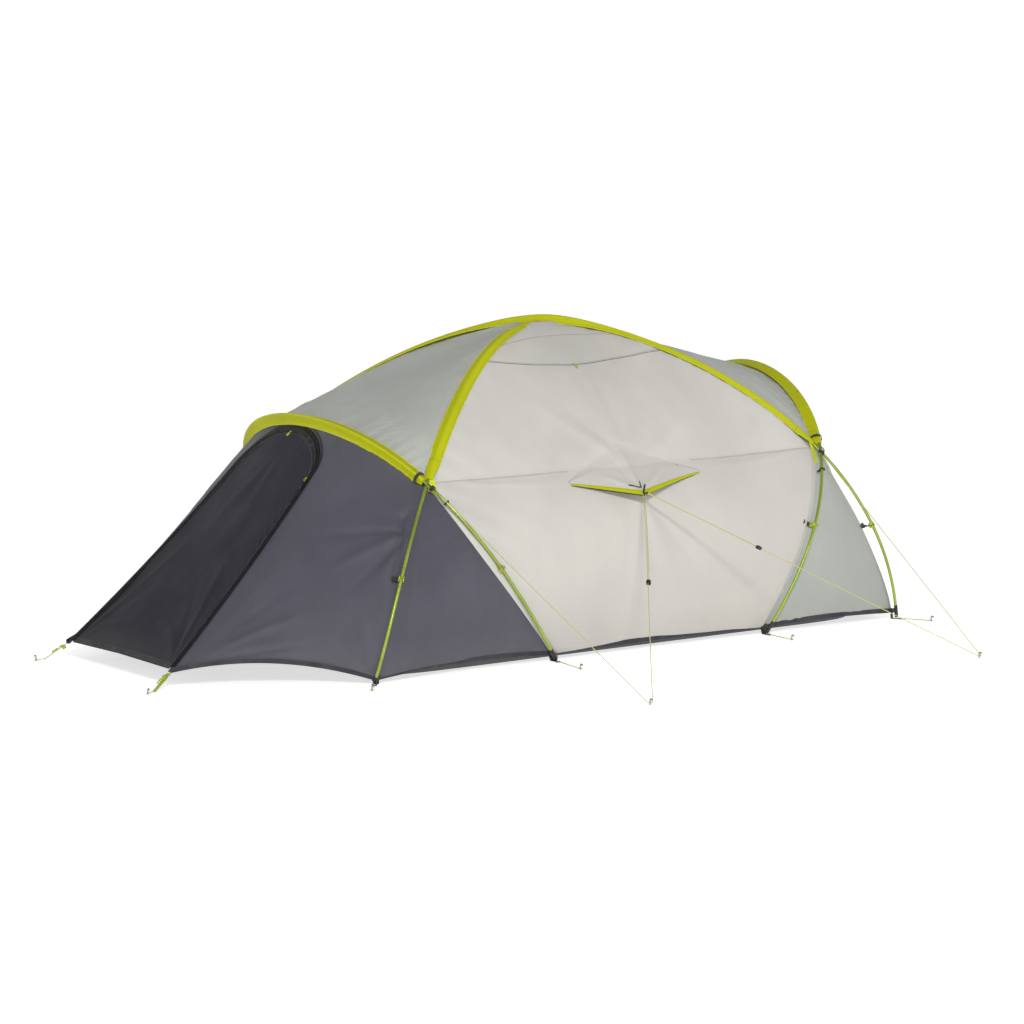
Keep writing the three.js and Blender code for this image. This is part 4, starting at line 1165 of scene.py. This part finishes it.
# ------------------------------------------------------------------ hood, hem, zip
def add_hood(name, sign, cloth):
    """The hood, its bound lip, a dark tube painted as the shade under the lip, the netting under it, and the
    loop and toggle at its peak.
    """
    peak_at = (HOOD_PEAK - HOOD_LEFT) / (HOOD_RIGHT - HOOD_LEFT)

    def rise_at(c):
        return np.where(c < peak_at, c / peak_at, (1 - c) / (1 - peak_at))

    def hood_surface(c, r):
        rise = rise_at(c)
        u, v = lerp(HOOD_LEFT, HOOD_RIGHT, c), lerp(KNEE + 0.028 - 0.1 * rise, KNEE + 0.04 + 0.037 * rise, r)
        point = side(u, v)
        away = outward(point)
        away[..., 2] = 0
        bridge = 0.004 + 0.02 * np.exp(-((c - peak_at) / 0.3) ** 2)
        lifted = bridge + (HOOD_REACH - 0.02) * rise ** 1.5 * r
        under = cloth.on(u, v)[0]
        return lerp(under - away * 0.0012, point + away * tall(lifted), tall(smooth(0, 0.35, r)))

    hood = laid(hood_surface, 81, 30)
    rays = ((0.2, 0.2), (0.34, 0.05), (0.46, 0.05), (0.6, 0.08), (0.75, 0.3))
    hood.fan((peak_at, 0.97), rays, 0.008, 0.003)
    hood.settle(-1, 0.01)
    made = add_sheet(f"cloth_hood_{name}", turned(hood.grid, sign), "canopy", "canopy", outside=-1)
    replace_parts(made, f"vent_hood_{name}")
    c = np.linspace(0.0, 1.0, 90)
    rise = rise_at(c)
    lip, normals = hood.on(c, 0.985)
    width = 0.006 + 0.016 * rise ** 0.7
    binding = add_band(f"hood_binding_{name}", lip, normals, width, 0.0006, "sleeve", "sleeve", sign, 0.0012)
    rim = hood.on(c, 1.0)[0]
    edge = add_tube(f"hood_edge_{name}", rim, 0.0016, "piping", "sleeve", sign, 8)
    # painted shade: a dark tube under the lip, thickest at the peak, stands for the shaded gap under the hood
    under = rim - normals * 0.004 - (0, 0, 0.0035)
    painted_lip_shade = add_tube(f"hood_lip_shade_{name}", under, 0.0006 + 0.0032 * rise, "netting", "tape", sign, 8)
    net = laid(side, 60, 8, (HOOD_LEFT + 0.07, HOOD_RIGHT - 0.05), (KNEE + 0.012, KNEE + 0.055))
    over = turned(cloth.on(net.u, net.v, 0.0025)[0], sign)
    netting = add_sheet(f"netting_{name}", over, "netting", "tape", outside=-1)
    peak, normal = hood.on(peak_at, 0.99)
    hook = at(-0.112, -0.857, 0.586)
    start = peak + normal * 0.002
    loop = spline([start + (0.006, 0, 0.03), start, (start + hook) / 2 + (0.004, -0.004, -0.006), hook], 14)
    strap = add_band(f"hood_loop_{name}", loop, outward(loop), 0.008, 0.0004, "strap", "strap", sign)
    for k, (run, top) in enumerate(((-0.07, 0.87), (0.008, 0.79))):
        lying = hood.on(peak_at + np.linspace(0, run, 9), np.linspace(0.9, top, 9), 0.003)
        add_band(f"hood_bow{k}_{name}", *lying, 0.005, 0.001, "strap", "strap", sign)
    bar = np.linspace(hook + (-0.011, 0.002, -0.003), hook + (0.011, -0.002, 0.003), 9)
    toggle = add_tube(f"hood_toggle_{name}", bar, grip(0.0038, 0.55, 0.9, 0.8), "black", "plastic", sign, 12)


def add_hem(label, name, sign, path, count):
    """Dark tape folded over a hem's edge."""
    t = np.linspace(0, 1, count)
    points = path(t)
    facing = outward(points)
    facing[:, 2] = 0
    points = points + unit(facing) * 0.0028 + np.array([0, 0, 0.006])
    return add_band(f"hem_{label}_{name}", points, unit(facing), 0.018, 0, "tape", "tape", sign)


def zip_path(inset, lift):
    """Round the door's arch from one bottom corner to the other, that far outside its edge."""
    half, grow = DOOR_HALF + DOOR_GAP + inset, DOOR_GAP / 2 + inset * 0.6
    v = np.linspace(0.985, DOOR_FOOT - grow, 90)
    angle = np.linspace(0, math.pi, 120)[1:-1]
    s = np.concatenate([np.full(90, -half), -half * np.cos(angle), np.full(90, half)])
    over = door_arch(-half * np.cos(angle), half, grow)
    p = front(s, np.concatenate([v, over, v[::-1]]))
    tangent = unit(np.gradient(p, axis=0))
    normal = unit(FRONT_OUT - tangent * tall(tangent @ FRONT_OUT))
    run = travelled(p)
    even = np.linspace(0, run[-1], 1100)
    p, normal = (np.stack([np.interp(even, run, q[:, k]) for k in range(3)], axis=-1) for q in (p, normal))
    normal = unit(normal)
    return p + normal * lift, normal, even


def add_zip():
    """The zip: a wide dark flap round the opening with the coil of teeth along its middle."""
    points, normals, run = zip_path(0.012, 0.0024)
    x = np.array([1, 0.6, 0.2, 0.12, 0, -0.12, -0.2, -0.6, -1, -0.7, 0, 0.7]) * 0.018
    y = np.array([0, 0.0006, 0.0008, 0.0028, 0.0034, 0.0028, 0.0008, 0.0006, 0, -0.0008, -0.0008, -0.0008])
    teeth = 0.0005 * np.sin(math.tau * run / 0.0062)
    profile = np.stack([np.stack([x, y + t * (np.abs(x) < 0.002) * (y > 0)], axis=-1) for t in teeth])
    made = sweep("zip_tape", points, normals, profile, "zip", "tape")
    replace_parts(made, "door_zip")
    for label, inset in (("inner", -0.022), ("outer", 0.052)):
        points, normals, _ = zip_path(inset, 0.0012)
        add_band(f"zip_edge_{label}", points, normals, 0.008, 0, "tape", "tape")


def add_pull(name, place, way, sign=1):
    """A small pull of green cord with a moulded grip."""
    end = place + unit(np.array(way, float)) * 0.03
    cord = spline([place, lerp(place, end, 0.5) + (0, 0, 0.003), end], 12)
    add_tube(f"pull_cord_{name}", cord, 0.0016, "cord", "cord", sign, 8)
    held = lerp(place, end, tall(np.linspace(0.45, 1.1, 9)))
    add_tube(f"pull_grip_{name}", held, grip(0.0036, 0.5, 0.9, 0.9), "plastic", "plastic", sign)


def add_slider():
    """The zip's slider: a waisted body on the teeth, a bail, and a pull cord with a moulded end."""
    low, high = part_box("zip_slider")
    centre = np.array((low + high) / 2)
    along = unit(CORNER_POINT - centre)
    out = squared(FRONT_OUT, along)
    across = np.cross(along, out)
    t = np.linspace(-1, 1, 15)
    section = np.array([
        (1, 0.4), (0.7, 1), (-0.7, 1), (-1, 0.4), (-1, -0.4), (-0.7, -1), (0.7, -1), (1, -0.4),
    ])
    waist = 0.0052 * (0.8 + 0.2 * t ** 2)
    profile = np.stack([section * (w, 0.0024) for w in waist])
    path = centre + tall(t * 0.0095) * along
    body = sweep("slider_body", path, np.tile(out, (15, 1)), profile, "slider", "slider", "zip_slider")
    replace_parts(body, "zip_slider")
    bail = arc(centre + out * 0.0024, along, out, np.linspace(0, math.pi, 16), 0.006, 0.0035)
    add_tube("slider_bail", bail, 0.0009, "slider", "slider", sides=8, body="zip_slider")
    drop = unit(along + np.array([0, 0, -0.3]))
    hang = centre + out * 0.0062
    pull = spline([hang, hang + drop * 0.012 + across * 0.002, hang + drop * 0.028 - out * 0.002], 16)
    add_tube("slider_pull", pull, 0.0013, "black", "cord", sides=8, body="zip_slider")
    end = np.linspace(pull[-1] - drop * 0.004, pull[-1] + drop * 0.018, 9)
    add_tube("slider_grip", end, grip(0.0034, 0.5, 0.85, 0.95), "black", "plastic", body="zip_slider")


# ------------------------------------------------------------------ straps, clips, pegs
def flat_way(a, b):
    way = np.array(b, float) - np.array(a, float)
    way[2] = 0
    return unit(way)


def peg_place(peg):
    return at(*PEG_AT[peg], 0)


def add_foot(leg, name, sign):
    """Webbing from the hem under a pole's foot, an eyelet for the pole's tip, and a cord loop to the peg."""
    pole = bezier(LEGS[leg], 0.0)
    inboard, peg = flat_way(pole, FOOT[leg]), peg_place(leg)
    run = flat_way(pole, peg)
    under = np.array([pole[0], pole[1], STRAP_Z + BAND_T])
    end = under + run * 0.032
    corner = FOOT[leg] + inboard * 0.005
    points = spline([corner, under + inboard * 0.018 + (0, 0, 0.001), under, end], 40)
    points[:, 2] = np.maximum(points[:, 2], under[2])
    along = unit(np.gradient(points, axis=0))
    ups = unit(np.cross(np.cross(along, UP), along) + along[:, 2:] ** 2 * run)
    made = add_band(f"webbing_{leg}_{name}", points, ups, STRAP_W, STRAP_T, "strap", "strap", sign)
    if leg.startswith("corner"):
        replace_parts(made, f"foot_strap_{leg}_{name}")
    add_wedge(leg, name, sign, pole, inboard)
    angle = np.linspace(0, math.tau, 25)
    circle = np.stack([0.006 * np.cos(angle), 0.006 * np.sin(angle), np.full(25, 0.0036)], -1)
    ring = under + run * 0.016 + circle
    add_tube(f"eyelet_{leg}_{name}", ring, 0.0013, "ferrule", "peg", sign, 8)
    add_loop(f"loop_{leg}_{name}", end, peg, sign)


def add_wedge(leg, name, sign, pole, inboard):
    """The reinforced corner between the hem and the pole's foot."""
    corner, foot = FOOT[leg], pole + np.array([0, 0, 0.002])
    along = np.array([-inboard[1], inboard[0], 0])
    top = corner + np.array([0, 0, 0.016])
    s, r = np.meshgrid(np.linspace(-1, 1, 9), np.linspace(0, 1, 14))
    half = lerp(0.020, 0.008, r)
    grid = lerp(top, foot + np.array([0, 0, 0.004]), tall(r)) + tall(s * half) * along
    grid = grid - tall(0.002 * r) * inboard
    grid = grid - inboard * tall(0.0045 * (1 - s ** 2) * (1 - 0.5 * r))
    outside = outside_of(grid, -inboard)
    add_sheet(f"wedge_{leg}_{name}", turned(grid, sign), "strap", "strap", thickness=0.0012, outside=outside)


def outside_of(grid, way):
    """The side of a grid on which a direction lies."""
    return 1 if (normals_of(grid) * way).sum(-1).mean() > 0 else -1


def add_loop(name, end, peg, sign):
    """A thin doubled cord from the webbing's end round the peg."""
    run = flat_way(end, peg)
    side_way = np.array([-run[1], run[0], 0])
    z = np.array([0, 0, 0.0035])
    far = peg + run * 0.0058
    points = spline([
        end + side_way * 0.0015 + z * 0.9, lerp(end, peg, 0.5) + side_way * 0.0042 + z,
        peg + side_way * 0.0062 + z * 1.3, far + z * 1.4, peg - side_way * 0.0062 + z * 1.3,
        lerp(end, peg, 0.5) - side_way * 0.0042 + z, end - side_way * 0.0015 + z * 0.9,
    ], 60)
    add_tube(name, points, 0.0012, "cord", "cord", sign, 8)


def add_corner_strap(name, sign):
    """The vestibule's corner: yellow-green webbing through a ladder lock, then to the peg."""
    peg = peg_place("vestibule")
    start = CORNER_POINT + np.array([-0.004, -0.001, -0.002])
    end = peg + flat_way(peg, start) * 0.03
    end[2] = 0.0062
    points = lerp(start, end, tall(np.linspace(0, 1, 24)))
    run = unit(end - start)
    up = unit(np.cross(np.cross(run, UP), run))
    ups = np.tile(up, (24, 1))
    made = add_band(f"webbing_vestibule_{name}", points, ups, 0.018, 0, "webbing", "webbing", sign)
    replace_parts(made, f"corner_strap_{name}")
    across = np.cross(run, up)
    tail = spline([
        points[9] + up * 0.003, points[6] + up * 0.007 + across * 0.003,
        points[3] + across * 0.011 + up * 0.003, points[3] + across * 0.018 - up * 0.010,
    ], 20)
    add_band(f"tail_vestibule_{name}", tail, np.tile(up, (20, 1)), 0.016, 0, "webbing", "webbing", sign)
    lock = points[11] + up * 0.0035
    for bar, shift in enumerate((-0.011, 0.0, 0.011)):
        reach = lock + run * shift + tall(np.linspace(-0.013, 0.013, 7)) * across
        add_tube(f"lock_bar{bar}_{name}", reach, 0.0019, "plastic", "plastic", sign)
    for bar, shift in enumerate((-0.013, 0.013)):
        reach = lock + across * shift + tall(np.linspace(-0.0125, 0.0125, 7)) * run
        add_tube(f"lock_side{bar}_{name}", reach, 0.0021, "plastic", "plastic", sign)
    add_loop(f"loop_vestibule_{name}", end, peg, sign)


def add_clip(leg, name, sign):
    """A moulded hook round the pole on a stem, with a black webbing tab sewn to the cloth."""
    t = CLIP_T[leg]
    centre = bezier(LEGS[leg], t)
    along = unit(bezier(LEGS[leg], t + 0.01) - centre)
    out = squared(outward(centre), along)
    across = np.cross(along, out)
    angle, part = np.radians(np.linspace(52, 308, 30)), np.linspace(0, 1, 30)
    lips = 0.7 + 0.3 * smooth(0, 0.2, part) * smooth(1, 0.8, part)
    inset = INSET[kind(leg)] - 0.001
    ring, radial = arc(centre, out, across, angle, 0.0088, 0.0088), arc(0, out, across, angle, 1, 1)
    stem, side_way = centre - tall(np.linspace(0.0095, inset, 8)) * out, np.tile(along, (8, 1))
    if sign < 0:
        ring, radial, stem, side_way = (mirrored(p) for p in (ring, radial, stem, side_way))
    profile = np.stack([STRIP * (0.0105 * w, 0.0016) for w in lips])
    hook = sweep(f"hook_{leg}_{name}", ring, radial, profile, "plastic", "plastic")
    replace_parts(hook, f"clip_{leg}_{name}")
    sweep(f"stem_{leg}_{name}", stem, side_way, STRIP * (0.0026, 0.0085), "plastic", "plastic")
    toward = 1 if leg == "corner_rear" else -1
    pull = across * (-1 if across[0] * toward > 0 else 1)
    root = centre - out * (inset - 0.004)
    tab = [root + pull * 0.008 + out * 0.002, root, root - pull * 0.012, root - pull * 0.034 - out * 0.004]
    if leg == "corner_rear":
        cloth_edge = rear_pole_seam((CROSS[leg] - t) / (CROSS[leg] - HEM_T))
        tab = [root + out * 0.003, root, lerp(root, cloth_edge, 0.5), cloth_edge, cloth_edge - pull * 0.03]
    add_band(f"tab_{leg}_{name}", spline(tab, 18), np.tile(out, (18, 1)), 0.018, 0, "strap", "strap", sign)
    leash = spline([
        root - pull * 0.004, root + out * 0.006 + pull * 0.008,
        centre + pull * 0.014 + out * 0.003, centre + pull * 0.006 + out * 0.012,
    ], 20)
    add_tube(f"leash_{leg}_{name}", leash, 0.0011, "black", "strap", sign, 8)


def add_peg(peg, name, sign):
    """The head of a bent-wire peg."""
    top = PEG_SHAFT + PEG_BEND
    hook = spline([
        (0, 0, 0.0008), (0, 0, PEG_SHAFT), (0, -PEG_BEND * 0.35, top - 0.001),
        (0, -PEG_BEND, top), (0, -PEG_BEND * 2, top - 0.002),
    ], 30)
    made = add_tube(f"stake_{peg}_{name}", peg_place(peg) + hook, 0.0033, "peg", "peg", sign, 12)
    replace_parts(made, f"peg_{peg}_{name}")


def add_cuff(leg, name, sign):
    """The sleeve's bound end, gathered in towards the crossing."""
    t = CROSS[leg] + np.linspace(0.052, 0.011, 20)
    centres = bezier(LEGS[leg], t)
    depth, lift = INSET[kind(leg)], SLEEVE_LIFT[kind(leg)]
    ends = smooth(0, 1, np.linspace(0, 1, 20))
    profile = np.stack([
        sleeve_section(depth * (1 - 0.45 * e), 1.08 + 0.3 * e, lift) * ((1.02 - 0.34 * e), 1.02) for e in ends
    ])
    if sign < 0:
        centres, profile = mirrored(centres), (profile * (-1, 1))[:, ::-1]
    sweep(f"cuff_{leg}_{name}", centres, outward(centres), profile, "sleeve", "sleeve")


def across_hoop(hoop, t):
    """A point of a hoop, and the ways across it and outward there."""
    spot = bezier(LEGS[hoop], t)
    way = unit(bezier(LEGS[hoop], t + 0.01) - spot)
    up = squared(outward(spot), way)
    return spot, np.cross(way, up), up


def add_crossing(hoop, main, name, sign):
    """Where a hoop crosses a main pole: wrapped webbing, a gusset, a small hook and the guyline's loop."""
    t = CROSS[hoop]
    centre = bezier(LEGS[hoop], t)
    out = outward(centre)
    label = f"{hoop}_{name}"
    depth = INSET["hoop"]
    add_cuff(hoop, name, sign)
    add_cuff(main, name, sign)
    wraps = (  # along the hoop, width, half its breadth and height, how far below the pole it centres
        (0.030, 0.011, 0.0215, depth * 0.5 + 0.009, depth * 0.4),
        (-0.02, 0.014, 0.011, 0.011, 0.001),
    )
    for part, (offset, width, wide, high, below) in enumerate(wraps):
        spot, across, up = across_hoop(hoop, t + offset)
        angle = np.radians(np.linspace(-38, 218, 26))
        ring, facing = arc(spot - up * below, across, up, angle, wide, high), arc(0, across, up, angle, 1, 1)
        add_band(f"wrap{part}_{label}", ring, facing, width, 0.0005, "strap", "strap", sign)
    seam_here = centre - out * (depth - 0.003)
    down = unit(bezier(LEGS[hoop], t - 0.05) - centre)
    outer = squared(unit(bezier(LEGS[main], CROSS[main] + 0.05) - centre), out)
    upper, far = seam_here + outer * 0.055 + down * 0.005, seam_here - outer * 0.03 + down * 0.01
    tip = seam_here + down * 0.085 - out * 0.002
    s, r = np.meshgrid(np.linspace(0, 1, 16), np.linspace(0, 1, 16))
    grid = lerp(lerp(upper, far, tall(s)), tip, tall(r * 0.96)) + out * tall(0.004 * arch(s) * (1 - r))
    outside = outside_of(grid, out)
    add_sheet(f"gusset_{label}", turned(grid, sign), "piping", "sleeve", thickness=0.001, outside=outside)
    hook, across, up = across_hoop(hoop, t - 0.07)
    ring = arc(hook, across, up, np.linspace(0.3, 5.6, 22), 0.0095, 0.0095)
    add_tube(f"hook_{label}", ring, 0.0026, "black", "plastic", sign)
    below = hook - up * 0.012 + across * 0.002
    tether = spline([hook + across * 0.009, below, hook - up * (depth - 0.006)], 14)
    add_band(f"tether_{label}", tether, np.tile(across, (14, 1)), 0.010, 0, "strap", "strap", sign)
    knot = centre + unit(centre - bezier(LEGS[hoop], t + 0.02)) * 0.004
    end = at(*(np.array(ROUTES[hoop.replace("hoop", "guyline")][0]) / 1000))
    leash = spline([knot + out * 0.004, (knot + end) / 2 + out * 0.01, end], 18)
    add_tube(f"anchor_{label}", leash, 0.0022, "strap", "strap", sign, 8)


# ------------------------------------------------------------------ guylines
def add_guyline(route, name, sign):
    """A guyline along its route, drawn taut from the crossing to its peg, the hood and its lock."""
    points = np.array([at(x / 1000, y / 1000, z / 1000) for x, y, z in ROUTES[route]])
    points[:, 1] *= sign
    made = add_tube(f"cord_{route}_{name}", points, CORD_R, "cord", "cord")
    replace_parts(made, f"{route}_{name}")
    lock = add_lock(route.split("_")[1], name, sign)


def add_lock(end, name, sign):
    """A line lock on its two strands: an open sleeve with a grip on top."""
    body = f"tensioner_{end}_{name}"
    here, there = (at(*(np.array(p) / 1000)) for p in TENSIONERS[end])
    if sign < 0:
        here, there = mirrored(here), mirrored(there)
    along = unit(there - here)
    across = unit(np.cross(UP, along))
    up = np.cross(along, across)
    half, angle = np.array([0.0086, 0.0064]), np.linspace(0, math.tau, 33)[:-1]
    ring = np.stack([half[0] * np.cos(angle), half[1] * np.sin(angle)], axis=-1)
    outer = np.sign(ring) * np.abs(ring) ** 0.8 * half ** 0.2
    t = np.linspace(-0.0105, 0.0105, 15)
    rows = []
    for section, run in ((outer, t), (outer * np.array([0.84, 0.78]), t[::-1])):
        rows += [here + along * a + across * tall(section[:, 0] * w) + up * tall(section[:, 1] * w)
                 for a, w in zip(run, 1 - 0.12 * (run / 0.0105) ** 4)]
    grid = np.array(rows)
    faces = [face[::-1] for face in grid_faces(*grid.shape[:2], wrap=True, ring=True)]
    made = add_object(f"lock_{end}_{name}", grid.reshape(-1, 3), faces, "black", "plastic", body,
                      [(0, 0)] * (4 * len(faces)))
    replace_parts(made, body)
    held = here + up * 0.0066 + tall(np.linspace(-0.006, 0.006, 9)) * across
    radii = grip(0.0016, 0.6, 0.9, 1)
    return [made, add_tube(f"lock_grip_{end}_{name}", held, radii, "black", "plastic", body=body)]


# ------------------------------------------------------------------ inner tent
RINGS = np.array([  # height, reach forward, reach back, half width, squareness
    (0.104, 1.185, 0.985, 0.742, 9), (0.260, 1.170, 0.972, 0.742, 8), (0.430, 1.140, 0.950, 0.735, 6),
    (0.590, 1.095, 0.930, 0.680, 4.5), (0.720, 1.045, 0.905, 0.590, 3.6), (0.820, 0.985, 0.875, 0.490, 2.9),
    (0.905, 0.810, 0.800, 0.395, 2.4), (0.985, 0.540, 0.640, 0.295, 2.2), (1.050, 0.320, 0.380, 0.200, 2),
    (1.095, 0.150, 0.170, 0.110, 2), (1.106, 0.012, 0.012, 0.012, 2),
])
DOORWAY = {"start": 12, "end": 16, "low": 0.35, "high": 4.2}  # columns and rows of the inner doorway
RING_CELLS = 28


def inner_at(column, row):
    """A point of the inner tent's wall at a column round it and a row up it."""
    z, ahead, behind, half, square = (np.interp(row, np.arange(len(RINGS)), ring) for ring in RINGS.T)
    angle = math.tau * column / RING_CELLS
    across = np.sin(angle)
    along = np.clip(1 - np.abs(across) ** square, 0, 1) ** (1 / square)
    x = np.where(np.cos(angle) < 0, -ahead * along, behind * along)
    return np.stack([x + APEX_X, across * half, z], axis=-1)


def add_inner():
    """The inner tent: a bathtub floor, a canopy with its doorway, and the door itself."""
    cells = RING_CELLS * 6
    low, high = DOORWAY["low"], DOORWAY["high"]
    wall, above = np.linspace(low, high, 34)[1:], np.linspace(high, 10, 40)[1:]
    rows = np.concatenate([np.linspace(0, low, 3), wall, above])
    c, r = np.meshgrid(np.arange(cells + 1) / 6.0, rows)
    cloth = Cloth(inner_at(c, r), c, r)
    cloth.ripples(51, 0.35, 0.003)
    cloth.height *= smooth(0, 1.5, c) * smooth(RING_CELLS, RING_CELLS - 1.5, c) * smooth(10, 8, r)
    cloth.settle(1)
    column, row = c[:-1, :-1] + 1e-6, r[:-1, :-1] + 1e-6
    door = (column >= DOORWAY["start"]) & (column < DOORWAY["end"]) & (row >= low) & (row < high)
    made = add_sheet("cloth_inner", cloth.grid, "inner", "inner", keep=~door)
    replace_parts(made, "inner_canopy")
    leaf = laid(inner_at, 50, 50, (12.05, 15.95), (0.39, 4.16))
    leaf.ripples(52, 0.25, 0.0016)
    leaf.settle(1)
    made = add_sheet("cloth_inner_door", leaf.grid, "netting", "inner", "inner_door")
    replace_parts(made, "inner_door")
    add_inner_floor()


def add_inner_floor():
    """A bathtub floor: flat on the ground, turned up all round to meet the canopy."""
    half = np.array([1.09, 0.7425])
    middle = np.array([APEX_X - 0.10, 0.0])
    size = np.concatenate([np.linspace(0.01, 0.985, 26), [0.994, 0.998, 1, 1, 1, 1]])
    z = np.concatenate([np.full(26, 0.0022), [0.0035, 0.0075, 0.02, 0.05, 0.08, 0.0985]])
    angle = np.linspace(0, math.tau, 161)
    way, square = np.stack([np.cos(angle), np.sin(angle)], axis=-1), 14.0
    reach = (np.abs(way) ** square).sum(-1) ** (-1 / square)
    ring = way * tall(reach) * half
    heights = np.broadcast_to(z[:, None, None], (32, 161, 1))
    grid = np.concatenate([middle + ring * size[:, None, None], heights], -1)
    made = add_sheet("cloth_floor", grid, "floor", "floor")
    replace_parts(made, "inner_floor")


# ------------------------------------------------------------------ assembly
HEMS = {  # the other hems on one side, and how many points each is drawn with
    "front_corner": (FRONT_HEM, 50),
    "flank": (FLANK_HEM, 60),
    "rear_corner": (REAR_HEM, 60),
    "rear": (line(FOOT["corner_rear"], REAR_MIDDLE), 60),
}
LEFT_SIDE = side_cloth()
for side_name, way in SIDES:
    for guyline in ROUTES:
        add_guyline(guyline, side_name, way)
for pole_name, legs in POLES.items():
    add_pole(pole_name)
    add_sleeve(pole_name, legs[:2])
for side_name, way in SIDES:
    add_side(side_name, way, LEFT_SIDE)
    add_hood(side_name, way, LEFT_SIDE)
    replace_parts(add_hem("side", side_name, way, SIDE_HEM, 90), f"hem_{side_name}")
    for hem_name, (hem, count) in HEMS.items():
        add_hem(hem_name, side_name, way, hem, count)
    for leg_name in LEGS:
        add_foot(leg_name, side_name, way)
        add_clip(leg_name, side_name, way)
    for peg_name in PEG_AT:
        add_peg(peg_name, side_name, way)
    add_corner_strap(side_name, way)
    add_crossing("hoop_front", "corner_front", side_name, way)
    add_crossing("hoop_rear", "corner_rear", side_name, way)
# the roof panels take the darker roof copy of the canopy cloth: painted shade
add_roof("roof_front", "hoop_front", "corner_front", -1, "roof")
add_roof("roof_rear", "hoop_rear", "corner_rear", 1, "roof")
add_vestibule()
add_rear()
add_door()
add_zip()
add_slider()
add_pull("arch", front(0.0, DOOR_TOP) + np.array([-0.004, 0, 0.005]), (-0.6, -0.25, -0.3))
add_inner()
